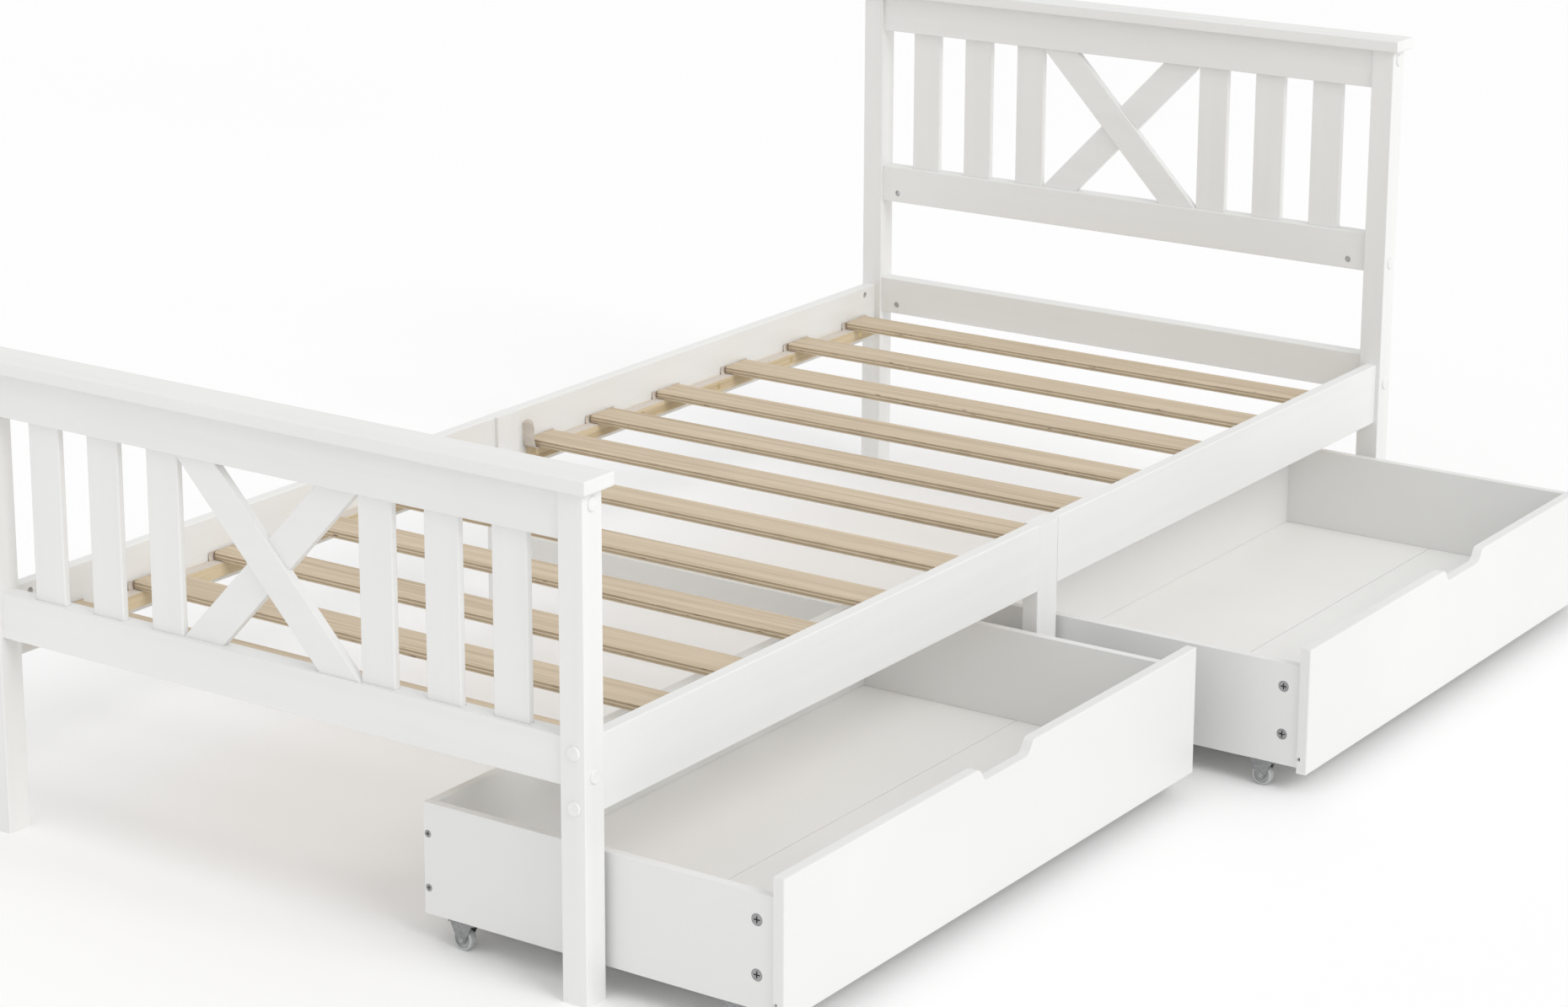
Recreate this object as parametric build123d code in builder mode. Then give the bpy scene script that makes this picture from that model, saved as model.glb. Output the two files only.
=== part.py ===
"""Single bed frame: crossed-bar head and foot boards, slatted deck and two drawers on castors.

Millimetres. +X is the drawer side, +Y the head end, +Z up, and the floor is z = 0. The origin
lies on the floor under the middle of everything as it stands, with both drawers drawn out.
"""

import os
from math import asin, atan2, cos, hypot, radians, sin

from build123d import *

# ---- Mattress space and the frame around it ----
mattress_length = 2000
mattress_width = 900
mattress_end_gap = 7
mattress_side_gap = 10
post_size = 36
post_edge = 1.5
side_rail_thickness = 18
side_rail_height = 94
side_rail_bottom = 229
side_rail_inset = 7
rail_edge = 1.5

# ---- Head and foot boards ----
head_post_height = 821
foot_post_height = 619
cap_thickness = 18
cap_overhang = 10
cap_edge = 3
cap_top_edge = 1.5
board_rail_height = 60
board_rail_thickness = 26
foot_lower_rail_top = 325
head_mid_rail_top = 530
head_lower_rail_top = 336
board_slat_width = 52
board_slat_thickness = 10
board_slat_edge = 2.5
board_slat_pitch = 100
board_slat_count = 3
outer_slat_place = 369
cross_bar_width = 46
cross_bar_thickness = 12
cross_bar_step = 5
cross_bar_edge = 1.2
mortise_depth = 8
mortise_clearance = 0.2

# ---- Middle legs and the stretcher between them ----
mid_leg_thickness = 24
mid_leg_width = 51
stretcher_height = 38
stretcher_thickness = 20
stretcher_bottom = 104

# ---- Slatted deck ----
deck_slat_width = 58
deck_slat_thickness = 12
deck_slat_edge = 3
deck_slat_corner = 6
deck_top = 276
deck_end_gap = 3
head_deck_spots = (0.076, 0.227, 0.398, 0.583, 0.760, 0.934)
foot_deck_spots = (0.102, 0.281, 0.443, 0.608, 0.762, 0.915)
strap_width = 18
strap_thickness = 1
strap_tab_length = 11
strap_tail_inset = 6
strap_tail_run = 6
strap_tail_radius = 23
strap_tail_turn = 170
strap_curl_radius = 12
strap_curl_turn = 110
arc_bottom_angle = 270
batten_height = 20
batten_width = 20
batten_edge = 1
batten_mid_gap = 23
batten_post_gap = 15

# ---- Knock-down fittings ----
bolt_radius = 3
bolt_hole_clearance = 0.5
bolt_head_radius = 6.5
bolt_head_height = 3
bolt_sink_depth = 6
bolt_sink_clearance = 1
bolt_nut_overrun = 3
bolt_tip_gap = 1
bolt_edge_distance = 15
side_bolt_spread = 67
nut_radius = 5
nut_clearance = 0.1
nut_end_distance = 30
nut_recess = 2
nut_wall = 3
cover_radius = 9
cover_height = 2.4
cover_dome = 1.4
cover_plug_depth = 2
cover_plug_clearance = 0.2
dowel_radius = 4
dowel_in_post = 11
dowel_in_rail = 17
leg_dowel_spread = 50
screw_radius = 2
screw_head_radius = 5
screw_head_height = 3
batten_screw_count = 5
batten_screw_end = 60
batten_screw_bite = 10
fit_clearance = 0.1
cut_overrun = 1
widest_edge_share = 0.25
same_place = 0.5

# ---- Drawers ----
drawer_end_gap = 11
drawer_1_offset = -7
drawer_2_offset = -5
drawer_depth = 524
drawer_front_thickness = 15
drawer_front_bottom = 30
drawer_front_height = 175
drawer_front_edge = 2
drawer_side_inset = 4
drawer_side_thickness = 12
drawer_side_height = 143
drawer_side_edge = 1
drawer_floor_thickness = 4
drawer_floor_seam = 1.2
drawer_floor_rise = 12
drawer_groove_depth = 5
drawer_groove_clearance = 0.3
finger_scoop_width = 140
finger_scoop_depth = 18
finger_scoop_slope = 26
drawer_1_out = 254
drawer_2_out = 383
cam_radius = 7.5
cam_depth = 9
cam_distance = 25
cam_slot_width = 1.8
cam_slot_depth = 1.5
cam_slot_reach = 0.6
cam_bolt_radius = 2.5
cam_bolt_in_front = 10
cam_heights = (79, 146)
drawer_screw_heights = (70, 139)
drawer_screw_length = 36

# ---- Castors ----
wheel_radius = 14
wheel_width = 11
wheel_edge = 1.5
wheel_side_gap = 0.8
axle_radius = 2
axle_clearance = 0.1
axle_head_radius = 3.5
axle_head_height = 1
castor_height = 36
castor_plate_length = 40
castor_metal = 1.5
castor_ear_radius = 6
castor_ear_root = 32
castor_end_distance = 54
castor_screw_place = 15
castor_screw_radius = 1.6
castor_screw_head_radius = 3
castor_screw_head_height = 1.6
castor_screw_length = 11

# ---- Worked out from the sizes above ----
bed_length = mattress_length + 2 * (mattress_end_gap + post_size)
bed_width = mattress_width + 2 * (mattress_side_gap + side_rail_thickness + side_rail_inset)
post_inner_y = bed_length / 2 - post_size
post_mid_y = bed_length / 2 - post_size / 2
clear_half_width = bed_width / 2 - post_size
rail_outer = bed_width / 2 - side_rail_inset
rail_inner = rail_outer - side_rail_thickness
rail_middle = rail_outer - side_rail_thickness / 2
side_rail_top = side_rail_bottom + side_rail_height
leg_half_width = mid_leg_width / 2
leg_inner = rail_outer - mid_leg_thickness
slat_half_length = rail_inner - deck_end_gap
deck_underside = deck_top - deck_slat_thickness
batten_top = deck_underside - strap_thickness
batten_inner = rail_inner - batten_width
bolt_hole_radius = bolt_radius + bolt_hole_clearance
bolt_sink_radius = bolt_head_radius + bolt_sink_clearance
bolt_length = post_size - bolt_sink_depth + nut_end_distance + nut_radius + bolt_nut_overrun
bolt_hole_reach = nut_end_distance + nut_radius + bolt_nut_overrun + bolt_tip_gap
castor_width = wheel_width + 2 * (wheel_side_gap + castor_metal)
batten_screw_height = batten_top - batten_height / 2
front_reach = rail_outer + max(drawer_1_out, drawer_2_out)
cap_reach = bed_width / 2 + cap_overhang
bed_x = (cap_reach - front_reach) / 2

ENDS = {"foot": -1, "head": 1}
SIDES = {"left": -1, "right": 1}

board_rails = {
    "foot_top_rail": (-1, foot_post_height - board_rail_height),
    "head_top_rail": (1, head_post_height - board_rail_height),
    "head_mid_rail": (1, head_mid_rail_top - board_rail_height),
    "foot_lower_rail": (-1, foot_lower_rail_top - board_rail_height),
    "head_lower_rail": (1, head_lower_rail_top - board_rail_height),
}
panels = {
    "foot": (-1, foot_lower_rail_top, foot_post_height - board_rail_height),
    "head": (1, head_mid_rail_top, head_post_height - board_rail_height),
}

os.makedirs("parts", exist_ok=True)


def save(piece, name):
    """Labels a finished piece and writes it."""
    piece.label = name
    export_step(piece, f"parts/{name}.step")


def facing(x, y, z, direction):
    """A plane at a point in the bed's own frame, its normal along the given direction."""
    return Plane(origin=(bed_x + x, y, z), z_dir=direction)


def board(x_range, y_range, z_range, edge):
    """A solid board between two corners in the bed's own frame, with its arrises eased."""
    size = [high - low for low, high in (x_range, y_range, z_range)]
    middle = (bed_x + sum(x_range) / 2, sum(y_range) / 2)
    with BuildPart() as blank:
        with BuildSketch(Plane.XY.offset(z_range[0])):
            with Locations(middle):
                Rectangle(size[0], size[1])
        extrude(amount=size[2])
        if edge > 0:
            long_axis = (Axis.X, Axis.Y, Axis.Z)[size.index(max(size))]
            fillet(blank.edges().filter_by(long_axis), min(edge, min(size) * widest_edge_share))
    return blank.part


def round_bar(x, y, z, direction, radius, length):
    """A plain round bar that starts at a point and runs along a direction."""
    with BuildPart() as bar:
        with BuildSketch(facing(x, y, z, direction)):
            Circle(radius)
        extrude(amount=length)
    return bar.part


def drill(x, y, z, direction, radius, depth):
    """Cuts a flat-bottomed round hole from a point inward along a direction."""
    add(round_bar(x, y, z, direction, radius, depth), mode=Mode.SUBTRACT)


def taper(x, y, z, direction, wide, narrow, depth):
    """A cone frustum that narrows from a point along a direction."""
    dx, dy, dz = direction
    with BuildPart() as cone:
        with BuildSketch(facing(x, y, z, direction)):
            Circle(wide)
        with BuildSketch(facing(x + dx * depth, y + dy * depth, z + dz * depth, direction)):
            Circle(narrow)
        loft()
    return cone.part


def make_screw(x, y, z, direction, length):
    """A countersunk screw whose head lies flush at a point."""
    dx, dy, _ = direction
    neck = (x + dx * screw_head_height, y + dy * screw_head_height, z)
    with BuildPart() as screw:
        add(taper(x, y, z, direction, screw_head_radius, screw_radius, screw_head_height))
        add(round_bar(*neck, direction, screw_radius, length - screw_head_height))
    return screw.part


def cut_screw_hole(x, y, z, direction, depth):
    """A countersunk hole that a screw's head sits in."""
    drill(x, y, z, direction, screw_radius, depth)
    wide = screw_head_radius + fit_clearance
    add(taper(x, y, z, direction, wide, screw_radius, screw_head_height), mode=Mode.SUBTRACT)


# ---- Where the fittings go ----
def bolt_height(name, rail_bottom):
    """Bolts sit near the top of a top rail and near the bottom of the others."""
    if "top" in name:
        return rail_bottom + board_rail_height - bolt_edge_distance
    return rail_bottom + bolt_edge_distance


def dowel_height(name, rail_bottom):
    """The dowel sits at the rail edge that the bolt leaves free."""
    if "top" in name:
        return rail_bottom + bolt_edge_distance
    return rail_bottom + board_rail_height - bolt_edge_distance


side_bolt_heights = [
    side_rail_bottom + side_rail_height / 2 + step * side_bolt_spread / 2 for step in (-1, 1)
]
side_dowel_height = side_rail_bottom + side_rail_height / 2
leg_dowel_heights = [
    side_rail_bottom + side_rail_height / 2 + step * leg_dowel_spread / 2 for step in (-1, 1)
]
stretcher_middle = stretcher_bottom + stretcher_height / 2

# Each bolt: its outer face point and the way that it runs in.
bolt_places = []
for rail_name, (end, rail_bottom) in board_rails.items():
    for side in SIDES.values():
        height = bolt_height(rail_name, rail_bottom)
        bolt_places.append((side * bed_width / 2, end * post_mid_y, height, (-side, 0, 0)))
for end in ENDS.values():
    for side in SIDES.values():
        for height in side_bolt_heights:
            bolt_places.append((side * rail_middle, end * bed_length / 2, height, (0, -end, 0)))

# Each dowel: the joint face point, the way into the post and its depths each way.
dowel_places = []
for rail_name, (end, rail_bottom) in board_rails.items():
    for side in SIDES.values():
        height = dowel_height(rail_name, rail_bottom)
        dowel_places.append((side * clear_half_width, end * post_mid_y, height, (side, 0, 0)))
for end in ENDS.values():
    for side in SIDES.values():
        dowel_places.append((side * rail_middle, end * post_inner_y, side_dowel_height, (0, end, 0)))
        for height in leg_dowel_heights:
            leg_face = end * leg_half_width
            dowel_places.append((side * rail_middle, leg_face, height, (0, -end, 0)))


def near(value, target):
    """True where two sizes are the same place."""
    return abs(value - target) < same_place


def cut_bolt_holes(places):
    """Counterbored clearance holes through a post for its bolts."""
    for x, y, z, direction in places:
        drill(x, y, z, direction, bolt_hole_radius, post_size)
        drill(x, y, z, direction, bolt_sink_radius, bolt_sink_depth)


def cut_dowel_holes(places, into_post):
    """Blind holes for dowels, on the post's or the rail's side of the joint."""
    for x, y, z, direction in places:
        way = direction if into_post else tuple(-step for step in direction)
        depth = dowel_in_post if into_post else dowel_in_rail
        drill(x, y, z, way, dowel_radius, depth)


# ---- Posts ----
for end_name, end in ENDS.items():
    height = foot_post_height if end < 0 else head_post_height
    for side_name, side in SIDES.items():
        x_range = sorted((side * clear_half_width, side * bed_width / 2))
        y_range = sorted((end * post_inner_y, end * bed_length / 2))
        with BuildPart() as post:
            add(board(x_range, y_range, (0, height), post_edge))
            cut_bolt_holes(
                [place for place in bolt_places if place[0] * side > 0 and place[1] * end > 0]
            )
            cut_dowel_holes(
                [
                    place
                    for place in dowel_places
                    if place[0] * side > 0 and place[1] * end > leg_half_width + same_place
                ],
                into_post=True,
            )
        save(post.part, f"{end_name}_post_{side_name}")

# ---- Caps on the boards ----
for end_name, end in ENDS.items():
    height = foot_post_height if end < 0 else head_post_height
    y_inner = end * (post_inner_y - cap_overhang)
    y_outer = end * (bed_length / 2 + cap_overhang)
    with BuildPart() as cap:
        with BuildSketch(Plane.XY.offset(height)):
            with Locations((bed_x, (y_inner + y_outer) / 2)):
                Rectangle(2 * cap_reach, abs(y_outer - y_inner))
        extrude(amount=cap_thickness)
        fillet(cap.edges().group_by(Axis.Z)[0], cap_edge)
        fillet(cap.edges().group_by(Axis.Z)[-1], cap_top_edge)
    save(cap.part, f"{end_name}_cap")


# ---- Slats and crossed bars of the boards ----
def slat_places(side):
    """Centre lines of the board slats on one side of the crossed bars."""
    return [side * (outer_slat_place - index * board_slat_pitch) for index in range(board_slat_count)]


inner_slat_edge = (
    outer_slat_place - (board_slat_count - 1) * board_slat_pitch - board_slat_width / 2
)


def bar_corners(lean, low, high, reach):
    """Outline of a crossed bar between two heights, with an upright tenon at each end."""
    clear = 2 * inner_slat_edge
    rise = high - low
    angle = atan2(rise, clear) + asin(cross_bar_width / hypot(rise, clear))
    span = cross_bar_width / sin(angle)
    upper = -clear / 2
    lower = clear / 2
    outline = (
        (upper, high + reach),
        (upper + span, high + reach),
        (upper + span, high),
        (lower, low),
        (lower, low - reach),
        (lower - span, low - reach),
        (lower - span, low),
        (upper, high),
    )
    return [(lean * x, z) for x, z in outline]


def board_plane(y):
    """An upright plane across the bed, its X along the bed's width and its normal to the head."""
    return Plane(origin=(bed_x, y, 0), x_dir=(1, 0, 0), z_dir=(0, -1, 0))


slat_front = board_slat_thickness / 2
first_bar_front = -(cross_bar_thickness + cross_bar_step) / 2
bar_fronts = {"front": first_bar_front, "back": first_bar_front + cross_bar_step}
bar_leans = {"front": 1, "back": -1}


def bar_blank(y, thickness, lean, low, high, reach, grow):
    """A leaning bar, or with grow the mortise for it."""
    with BuildPart() as bar:
        with BuildSketch(board_plane(y)):
            Polygon(*bar_corners(lean, low, high, reach), align=None)
            if grow > 0:
                offset(amount=grow)
        extrude(amount=-thickness)
    return bar.part


for end_name, (end, low, high) in panels.items():
    panel_y = end * post_mid_y
    tenon = mortise_depth - mortise_clearance
    for side_name, side in SIDES.items():
        with BuildPart() as slats:
            for place in slat_places(side):
                add(
                    board(
                        (place - board_slat_width / 2, place + board_slat_width / 2),
                        (panel_y - slat_front, panel_y + slat_front),
                        (low - tenon, high + tenon),
                        board_slat_edge,
                    )
                )
        save(slats.part, f"{end_name}_slats_{side_name}")
    for bar_name, lean in bar_leans.items():
        # the front bar faces the foot of the bed at both boards
        own_front = panel_y + bar_fronts[bar_name]
        shared = (cross_bar_thickness - cross_bar_step) / 2
        other_lean = -lean
        with BuildPart() as bar:
            add(bar_blank(own_front, cross_bar_thickness, lean, low, high, tenon, 0))
            fillet(bar.edges().filter_by(Plane.XZ).sort_by(SortBy.LENGTH)[-4:], cross_bar_edge)
            if bar_name == "front":
                notch_y = own_front + cross_bar_thickness - shared
            else:
                notch_y = own_front
            notch = bar_blank(
                notch_y, shared, other_lean, low, high, tenon, mortise_clearance
            )
            add(notch, mode=Mode.SUBTRACT)
        save(bar.part, f"{end_name}_cross_{bar_name}")

# ---- Rails of the boards ----
for rail_name, (end, rail_bottom) in board_rails.items():
    rail_y = end * post_mid_y
    half = board_rail_thickness / 2
    rail_top = rail_bottom + board_rail_height
    # the nut holes open to the mattress, and to the head end on the top rails
    nut_side = 1 if "top" in rail_name else -end
    with BuildPart() as rail:
        add(
            board(
                (-clear_half_width, clear_half_width),
                (rail_y - half, rail_y + half),
                (rail_bottom, rail_top),
                rail_edge,
            )
        )
        for panel_end, low, high in panels.values():
            if panel_end == end and (near(low, rail_top) or near(high, rail_bottom)):
                for side in SIDES.values():
                    for place in slat_places(side):
                        grow = board_slat_width / 2 + mortise_clearance
                        slat_depth = slat_front + mortise_clearance
                        mortise = board(
                            (place - grow, place + grow),
                            (rail_y - slat_depth, rail_y + slat_depth),
                            (low - mortise_depth, high + mortise_depth),
                            0,
                        )
                        add(mortise, mode=Mode.SUBTRACT)
                for bar_name, lean in bar_leans.items():
                    mortise = bar_blank(
                        rail_y + bar_fronts[bar_name] - mortise_clearance,
                        cross_bar_thickness + 2 * mortise_clearance,
                        lean,
                        low,
                        high,
                        mortise_depth,
                        mortise_clearance,
                    )
                    add(mortise, mode=Mode.SUBTRACT)
        for side in SIDES.values():
            end_x = side * clear_half_width
            height = bolt_height(rail_name, rail_bottom)
            drill(end_x, rail_y, height, (-side, 0, 0), bolt_hole_radius, bolt_hole_reach)
            nut_depth = board_rail_thickness - nut_wall
            drill(
                end_x - side * nut_end_distance,
                rail_y + nut_side * half,
                height,
                (0, -nut_side, 0),
                nut_radius + nut_clearance,
                nut_depth,
            )
        cut_dowel_holes(
            [
                place
                for place in dowel_places
                if near(place[1], rail_y) and near(place[2], dowel_height(rail_name, rail_bottom))
            ],
            into_post=False,
        )
    save(rail.part, rail_name)


# ---- Side rails, in two halves that meet a middle leg ----
def batten_range(end):
    """Where one half's batten starts and stops along the bed."""
    return sorted(
        (end * (leg_half_width + batten_mid_gap), end * (post_inner_y - batten_post_gap))
    )


def batten_screw_places(end):
    """Places of the screws along one batten."""
    low, high = batten_range(end)
    first = low + batten_screw_end
    step = (high - low - 2 * batten_screw_end) / (batten_screw_count - 1)
    return [first + index * step for index in range(batten_screw_count)]


for end_name, end in ENDS.items():
    for side_name, side in SIDES.items():
        x_range = sorted((side * rail_inner, side * rail_outer))
        y_range = sorted((end * leg_half_width, end * post_inner_y))
        with BuildPart() as side_rail:
            add(board(x_range, y_range, (side_rail_bottom, side_rail_top), rail_edge))
            for height in side_bolt_heights:
                rail_end = end * post_inner_y
                drill(side * rail_middle, rail_end, height, (0, -end, 0), bolt_hole_radius, bolt_hole_reach)
                drill(
                    side * rail_inner,
                    rail_end - end * nut_end_distance,
                    height,
                    (side, 0, 0),
                    nut_radius + nut_clearance,
                    side_rail_thickness - nut_wall,
                )
            for place in dowel_places:
                on_this_side = near(place[0], side * rail_middle) and place[1] * end > 0
                if on_this_side:
                    cut_dowel_holes([place], into_post=False)
            for place_y in batten_screw_places(end):
                drill(
                    side * rail_inner,
                    place_y,
                    batten_screw_height,
                    (side, 0, 0),
                    screw_radius,
                    batten_screw_bite,
                )
        save(side_rail.part, f"side_rail_{end_name}_{side_name}")

# ---- Middle legs and stretcher ----
for side_name, side in SIDES.items():
    x_range = sorted((side * leg_inner, side * rail_outer))
    with BuildPart() as leg:
        add(board(x_range, (-leg_half_width, leg_half_width), (0, side_rail_top), rail_edge))
        cut_dowel_holes(
            [
                place
                for place in dowel_places
                if near(place[0], side * rail_middle) and near(abs(place[1]), leg_half_width)
            ],
            into_post=True,
        )
        drill(side * rail_outer, 0, stretcher_middle, (-side, 0, 0), bolt_hole_radius, mid_leg_thickness)
        drill(side * rail_outer, 0, stretcher_middle, (-side, 0, 0), bolt_sink_radius, bolt_sink_depth)
    save(leg.part, f"mid_leg_{side_name}")

leg_bolt_length = (
    mid_leg_thickness - bolt_sink_depth + nut_end_distance + nut_radius + bolt_nut_overrun
)
with BuildPart() as stretcher:
    add(
        board(
            (-leg_inner, leg_inner),
            (-stretcher_thickness / 2, stretcher_thickness / 2),
            (stretcher_bottom, stretcher_bottom + stretcher_height),
            rail_edge,
        )
    )
    for side in SIDES.values():
        drill(side * leg_inner, 0, stretcher_middle, (-side, 0, 0), bolt_hole_radius, bolt_hole_reach)
        drill(
            side * (leg_inner - nut_end_distance),
            stretcher_thickness / 2,
            stretcher_middle,
            (0, -1, 0),
            nut_radius + nut_clearance,
            stretcher_thickness - nut_wall,
        )
save(stretcher.part, "stretcher")


# ---- Battens that carry the deck ----
for side_name, side in SIDES.items():
    x_range = sorted((side * batten_inner, side * rail_inner))
    with BuildPart() as battens:
        for end in ENDS.values():
            add(board(x_range, batten_range(end), (batten_top - batten_height, batten_top), batten_edge))
            for place_y in batten_screw_places(end):
                start = side * batten_inner
                cut_screw_hole(start, place_y, batten_screw_height, (side, 0, 0), batten_width)
    save(battens.part, f"battens_{side_name}")

with BuildPart() as batten_screws:
    for side in SIDES.values():
        for end in ENDS.values():
            for place_y in batten_screw_places(end):
                start = side * batten_inner
                length = batten_width + batten_screw_bite - fit_clearance
                add(make_screw(start, place_y, batten_screw_height, (side, 0, 0), length))
save(batten_screws.part, "batten_screws")


# ---- Deck slats, in two strapped sets ----
def deck_places(end):
    """Centre lines of one half's deck slats, from the middle legs outward."""
    spots = head_deck_spots if end > 0 else foot_deck_spots
    return [end * spot * post_inner_y for spot in spots]


def deck_slat(place_y):
    """One deck slat: a strip with rounded corners and eased rims."""
    with BuildPart() as slat:
        with BuildSketch(Plane.XY.offset(deck_underside)):
            with Locations((bed_x, place_y)):
                RectangleRounded(2 * slat_half_length, deck_slat_width, deck_slat_corner)
        extrude(amount=deck_slat_thickness)
        by_height = slat.edges().group_by(Axis.Z)
        fillet(by_height[0] + by_height[-1], deck_slat_edge)
    return slat.part


for end_name, end in ENDS.items():
    with BuildPart() as deck:
        for place_y in deck_places(end):
            add(deck_slat(place_y))
    save(deck.part, f"deck_slats_{end_name}")

# The straps lie on the battens under the slats, and turn up at each slat's end.
with BuildPart() as straps:
    for end in ENDS.values():
        places = deck_places(end)
        for side in SIDES.values():
            first_edge = places[0] - end * deck_slat_width / 2
            last_edge = places[-1] + end * deck_slat_width / 2
            strap_y = sorted((first_edge, last_edge))
            strap_outer = side * (slat_half_length + strap_thickness)
            strap_x = sorted((strap_outer - side * strap_width, strap_outer))
            add(board(strap_x, strap_y, (batten_top, deck_underside), 0))
            tab_x = sorted((side * slat_half_length, strap_outer))
            for place_y in places:
                tab_y = (place_y - deck_slat_width / 2, place_y + deck_slat_width / 2)
                add(board(tab_x, tab_y, (batten_top, deck_underside + strap_tab_length), 0))
    # the loose tail of the left head strap runs on, rises in a wide arc and curls over
    tail_start = deck_places(1)[0] - deck_slat_width / 2
    tail_x = -(slat_half_length - strap_tail_inset)
    tail_plane = Plane(origin=(bed_x + tail_x, 0, 0), x_dir=(0, 1, 0), z_dir=(1, 0, 0))
    arc_y = tail_start - strap_tail_run
    arc_z = batten_top + strap_tail_radius
    rise_end = arc_bottom_angle - strap_tail_turn
    inward = strap_tail_radius - strap_curl_radius
    curl_y = arc_y + inward * cos(radians(rise_end))
    curl_z = arc_z + inward * sin(radians(rise_end))
    with BuildSketch(tail_plane):
        with BuildLine():
            Line((tail_start, batten_top), (arc_y, batten_top))
            outer = CenterArc((arc_y, arc_z), strap_tail_radius, arc_bottom_angle, -strap_tail_turn)
            curl = CenterArc((curl_y, curl_z), strap_curl_radius, rise_end, -strap_curl_turn)
            inside = strap_curl_radius - strap_thickness
            back = CenterArc((curl_y, curl_z), inside, rise_end, -strap_curl_turn)
            Line(curl @ 1, back @ 1)
            inside = strap_tail_radius - strap_thickness
            CenterArc((arc_y, arc_z), inside, arc_bottom_angle, -strap_tail_turn)
            Line((arc_y, deck_underside), (tail_start, deck_underside))
            Line((tail_start, deck_underside), (tail_start, batten_top))
        make_face()
    extrude(amount=strap_width)
save(straps.part, "deck_straps")

# ---- Bolts, barrel nuts, dowels and cover caps ----
leg_bolt_places = [
    (side * rail_outer, 0, stretcher_middle, (-side, 0, 0)) for side in SIDES.values()
]


def make_bolt(x, y, z, direction, length):
    """A flat-headed bolt whose head lies at the bottom of its counterbore."""
    dx, dy, _ = direction
    seat = bolt_sink_depth
    with BuildPart() as bolt:
        add(
            round_bar(
                x + dx * (seat - bolt_head_height),
                y + dy * (seat - bolt_head_height),
                z,
                direction,
                bolt_head_radius,
                bolt_head_height,
            )
        )
        add(round_bar(x + dx * seat, y + dy * seat, z, direction, bolt_radius, length))
    return bolt.part


with BuildPart() as bolts:
    for x, y, z, direction in bolt_places:
        add(make_bolt(x, y, z, direction, bolt_length))
    for x, y, z, direction in leg_bolt_places:
        add(make_bolt(x, y, z, direction, leg_bolt_length))
save(bolts.part, "frame_bolts")


def make_cover(x, y, z, direction):
    """A domed plastic cap whose plug presses into a counterbore."""
    outward = tuple(-step for step in direction)
    with BuildPart() as cover:
        add(round_bar(x, y, z, outward, cover_radius, cover_height))
        beyond = facing(x, y, z, outward).offset(bed_width).origin
        rims = cover.edges().filter_by(GeomType.CIRCLE)
        fillet(rims.sort_by_distance(beyond)[0], cover_dome)
        plug = bolt_sink_radius - cover_plug_clearance
        add(round_bar(x, y, z, direction, plug, cover_plug_depth))
    return cover.part


with BuildPart() as covers:
    for x, y, z, direction in bolt_places + leg_bolt_places:
        add(make_cover(x, y, z, direction))
save(covers.part, "bolt_covers")


def make_nut(x, y, z, direction, length, bolt_direction):
    """A barrel nut: a short cylinder with a cross hole for the bolt."""
    with BuildPart() as nut:
        add(round_bar(x, y, z, direction, nut_radius, length))
        hole_middle = [
            place + way * length / 2 for place, way in zip((x, y, z), direction)
        ]
        back = 2 * nut_radius
        start = [place - way * back for place, way in zip(hole_middle, bolt_direction)]
        bore = round_bar(*start, bolt_direction, bolt_radius + fit_clearance, 2 * back)
        add(bore, mode=Mode.SUBTRACT)
    return nut.part


with BuildPart() as nuts:
    for rail_name, (end, rail_bottom) in board_rails.items():
        nut_side = 1 if "top" in rail_name else -end
        nut_length = 2 * (board_rail_thickness / 2 - nut_recess - nut_wall / 2)
        for side in SIDES.values():
            start_y = end * post_mid_y + nut_side * nut_length / 2
            add(
                make_nut(
                    side * (clear_half_width - nut_end_distance),
                    start_y,
                    bolt_height(rail_name, rail_bottom),
                    (0, -nut_side, 0),
                    nut_length,
                    (-side, 0, 0),
                )
            )
    side_nut_length = side_rail_thickness - 2 * nut_wall
    for end in ENDS.values():
        for side in SIDES.values():
            for height in side_bolt_heights:
                add(
                    make_nut(
                        side * (rail_inner + nut_wall),
                        end * (post_inner_y - nut_end_distance),
                        height,
                        (side, 0, 0),
                        side_nut_length,
                        (0, -end, 0),
                    )
                )
    stretcher_nut = stretcher_thickness - 2 * nut_wall
    for side in SIDES.values():
        add(
            make_nut(
                side * (leg_inner - nut_end_distance),
                stretcher_nut / 2,
                stretcher_middle,
                (0, -1, 0),
                stretcher_nut,
                (-side, 0, 0),
            )
        )
save(nuts.part, "barrel_nuts")

with BuildPart() as dowels:
    for x, y, z, direction in dowel_places:
        dx, dy, _ = direction
        length = dowel_in_post + dowel_in_rail - 2 * fit_clearance
        start_x = x - dx * (dowel_in_rail - fit_clearance)
        start_y = y - dy * (dowel_in_rail - fit_clearance)
        add(round_bar(start_x, start_y, z, direction, dowel_radius - fit_clearance, length))
save(dowels.part, "frame_dowels")

# ---- Drawers ----
drawer_span = post_inner_y - leg_half_width - 2 * drawer_end_gap
drawer_side_bottom = castor_height
drawer_side_top = drawer_side_bottom + drawer_side_height
floor_bottom = drawer_side_bottom + drawer_floor_rise
floor_top = floor_bottom + drawer_floor_thickness
box_half = drawer_span / 2 - drawer_side_inset
inner_half = box_half - drawer_side_thickness
bay_middle = (leg_half_width + post_inner_y) / 2
drawers = {
    "drawer_1": (-bay_middle + drawer_1_offset, drawer_1_out),
    "drawer_2": (bay_middle + drawer_2_offset, drawer_2_out),
}


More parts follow.
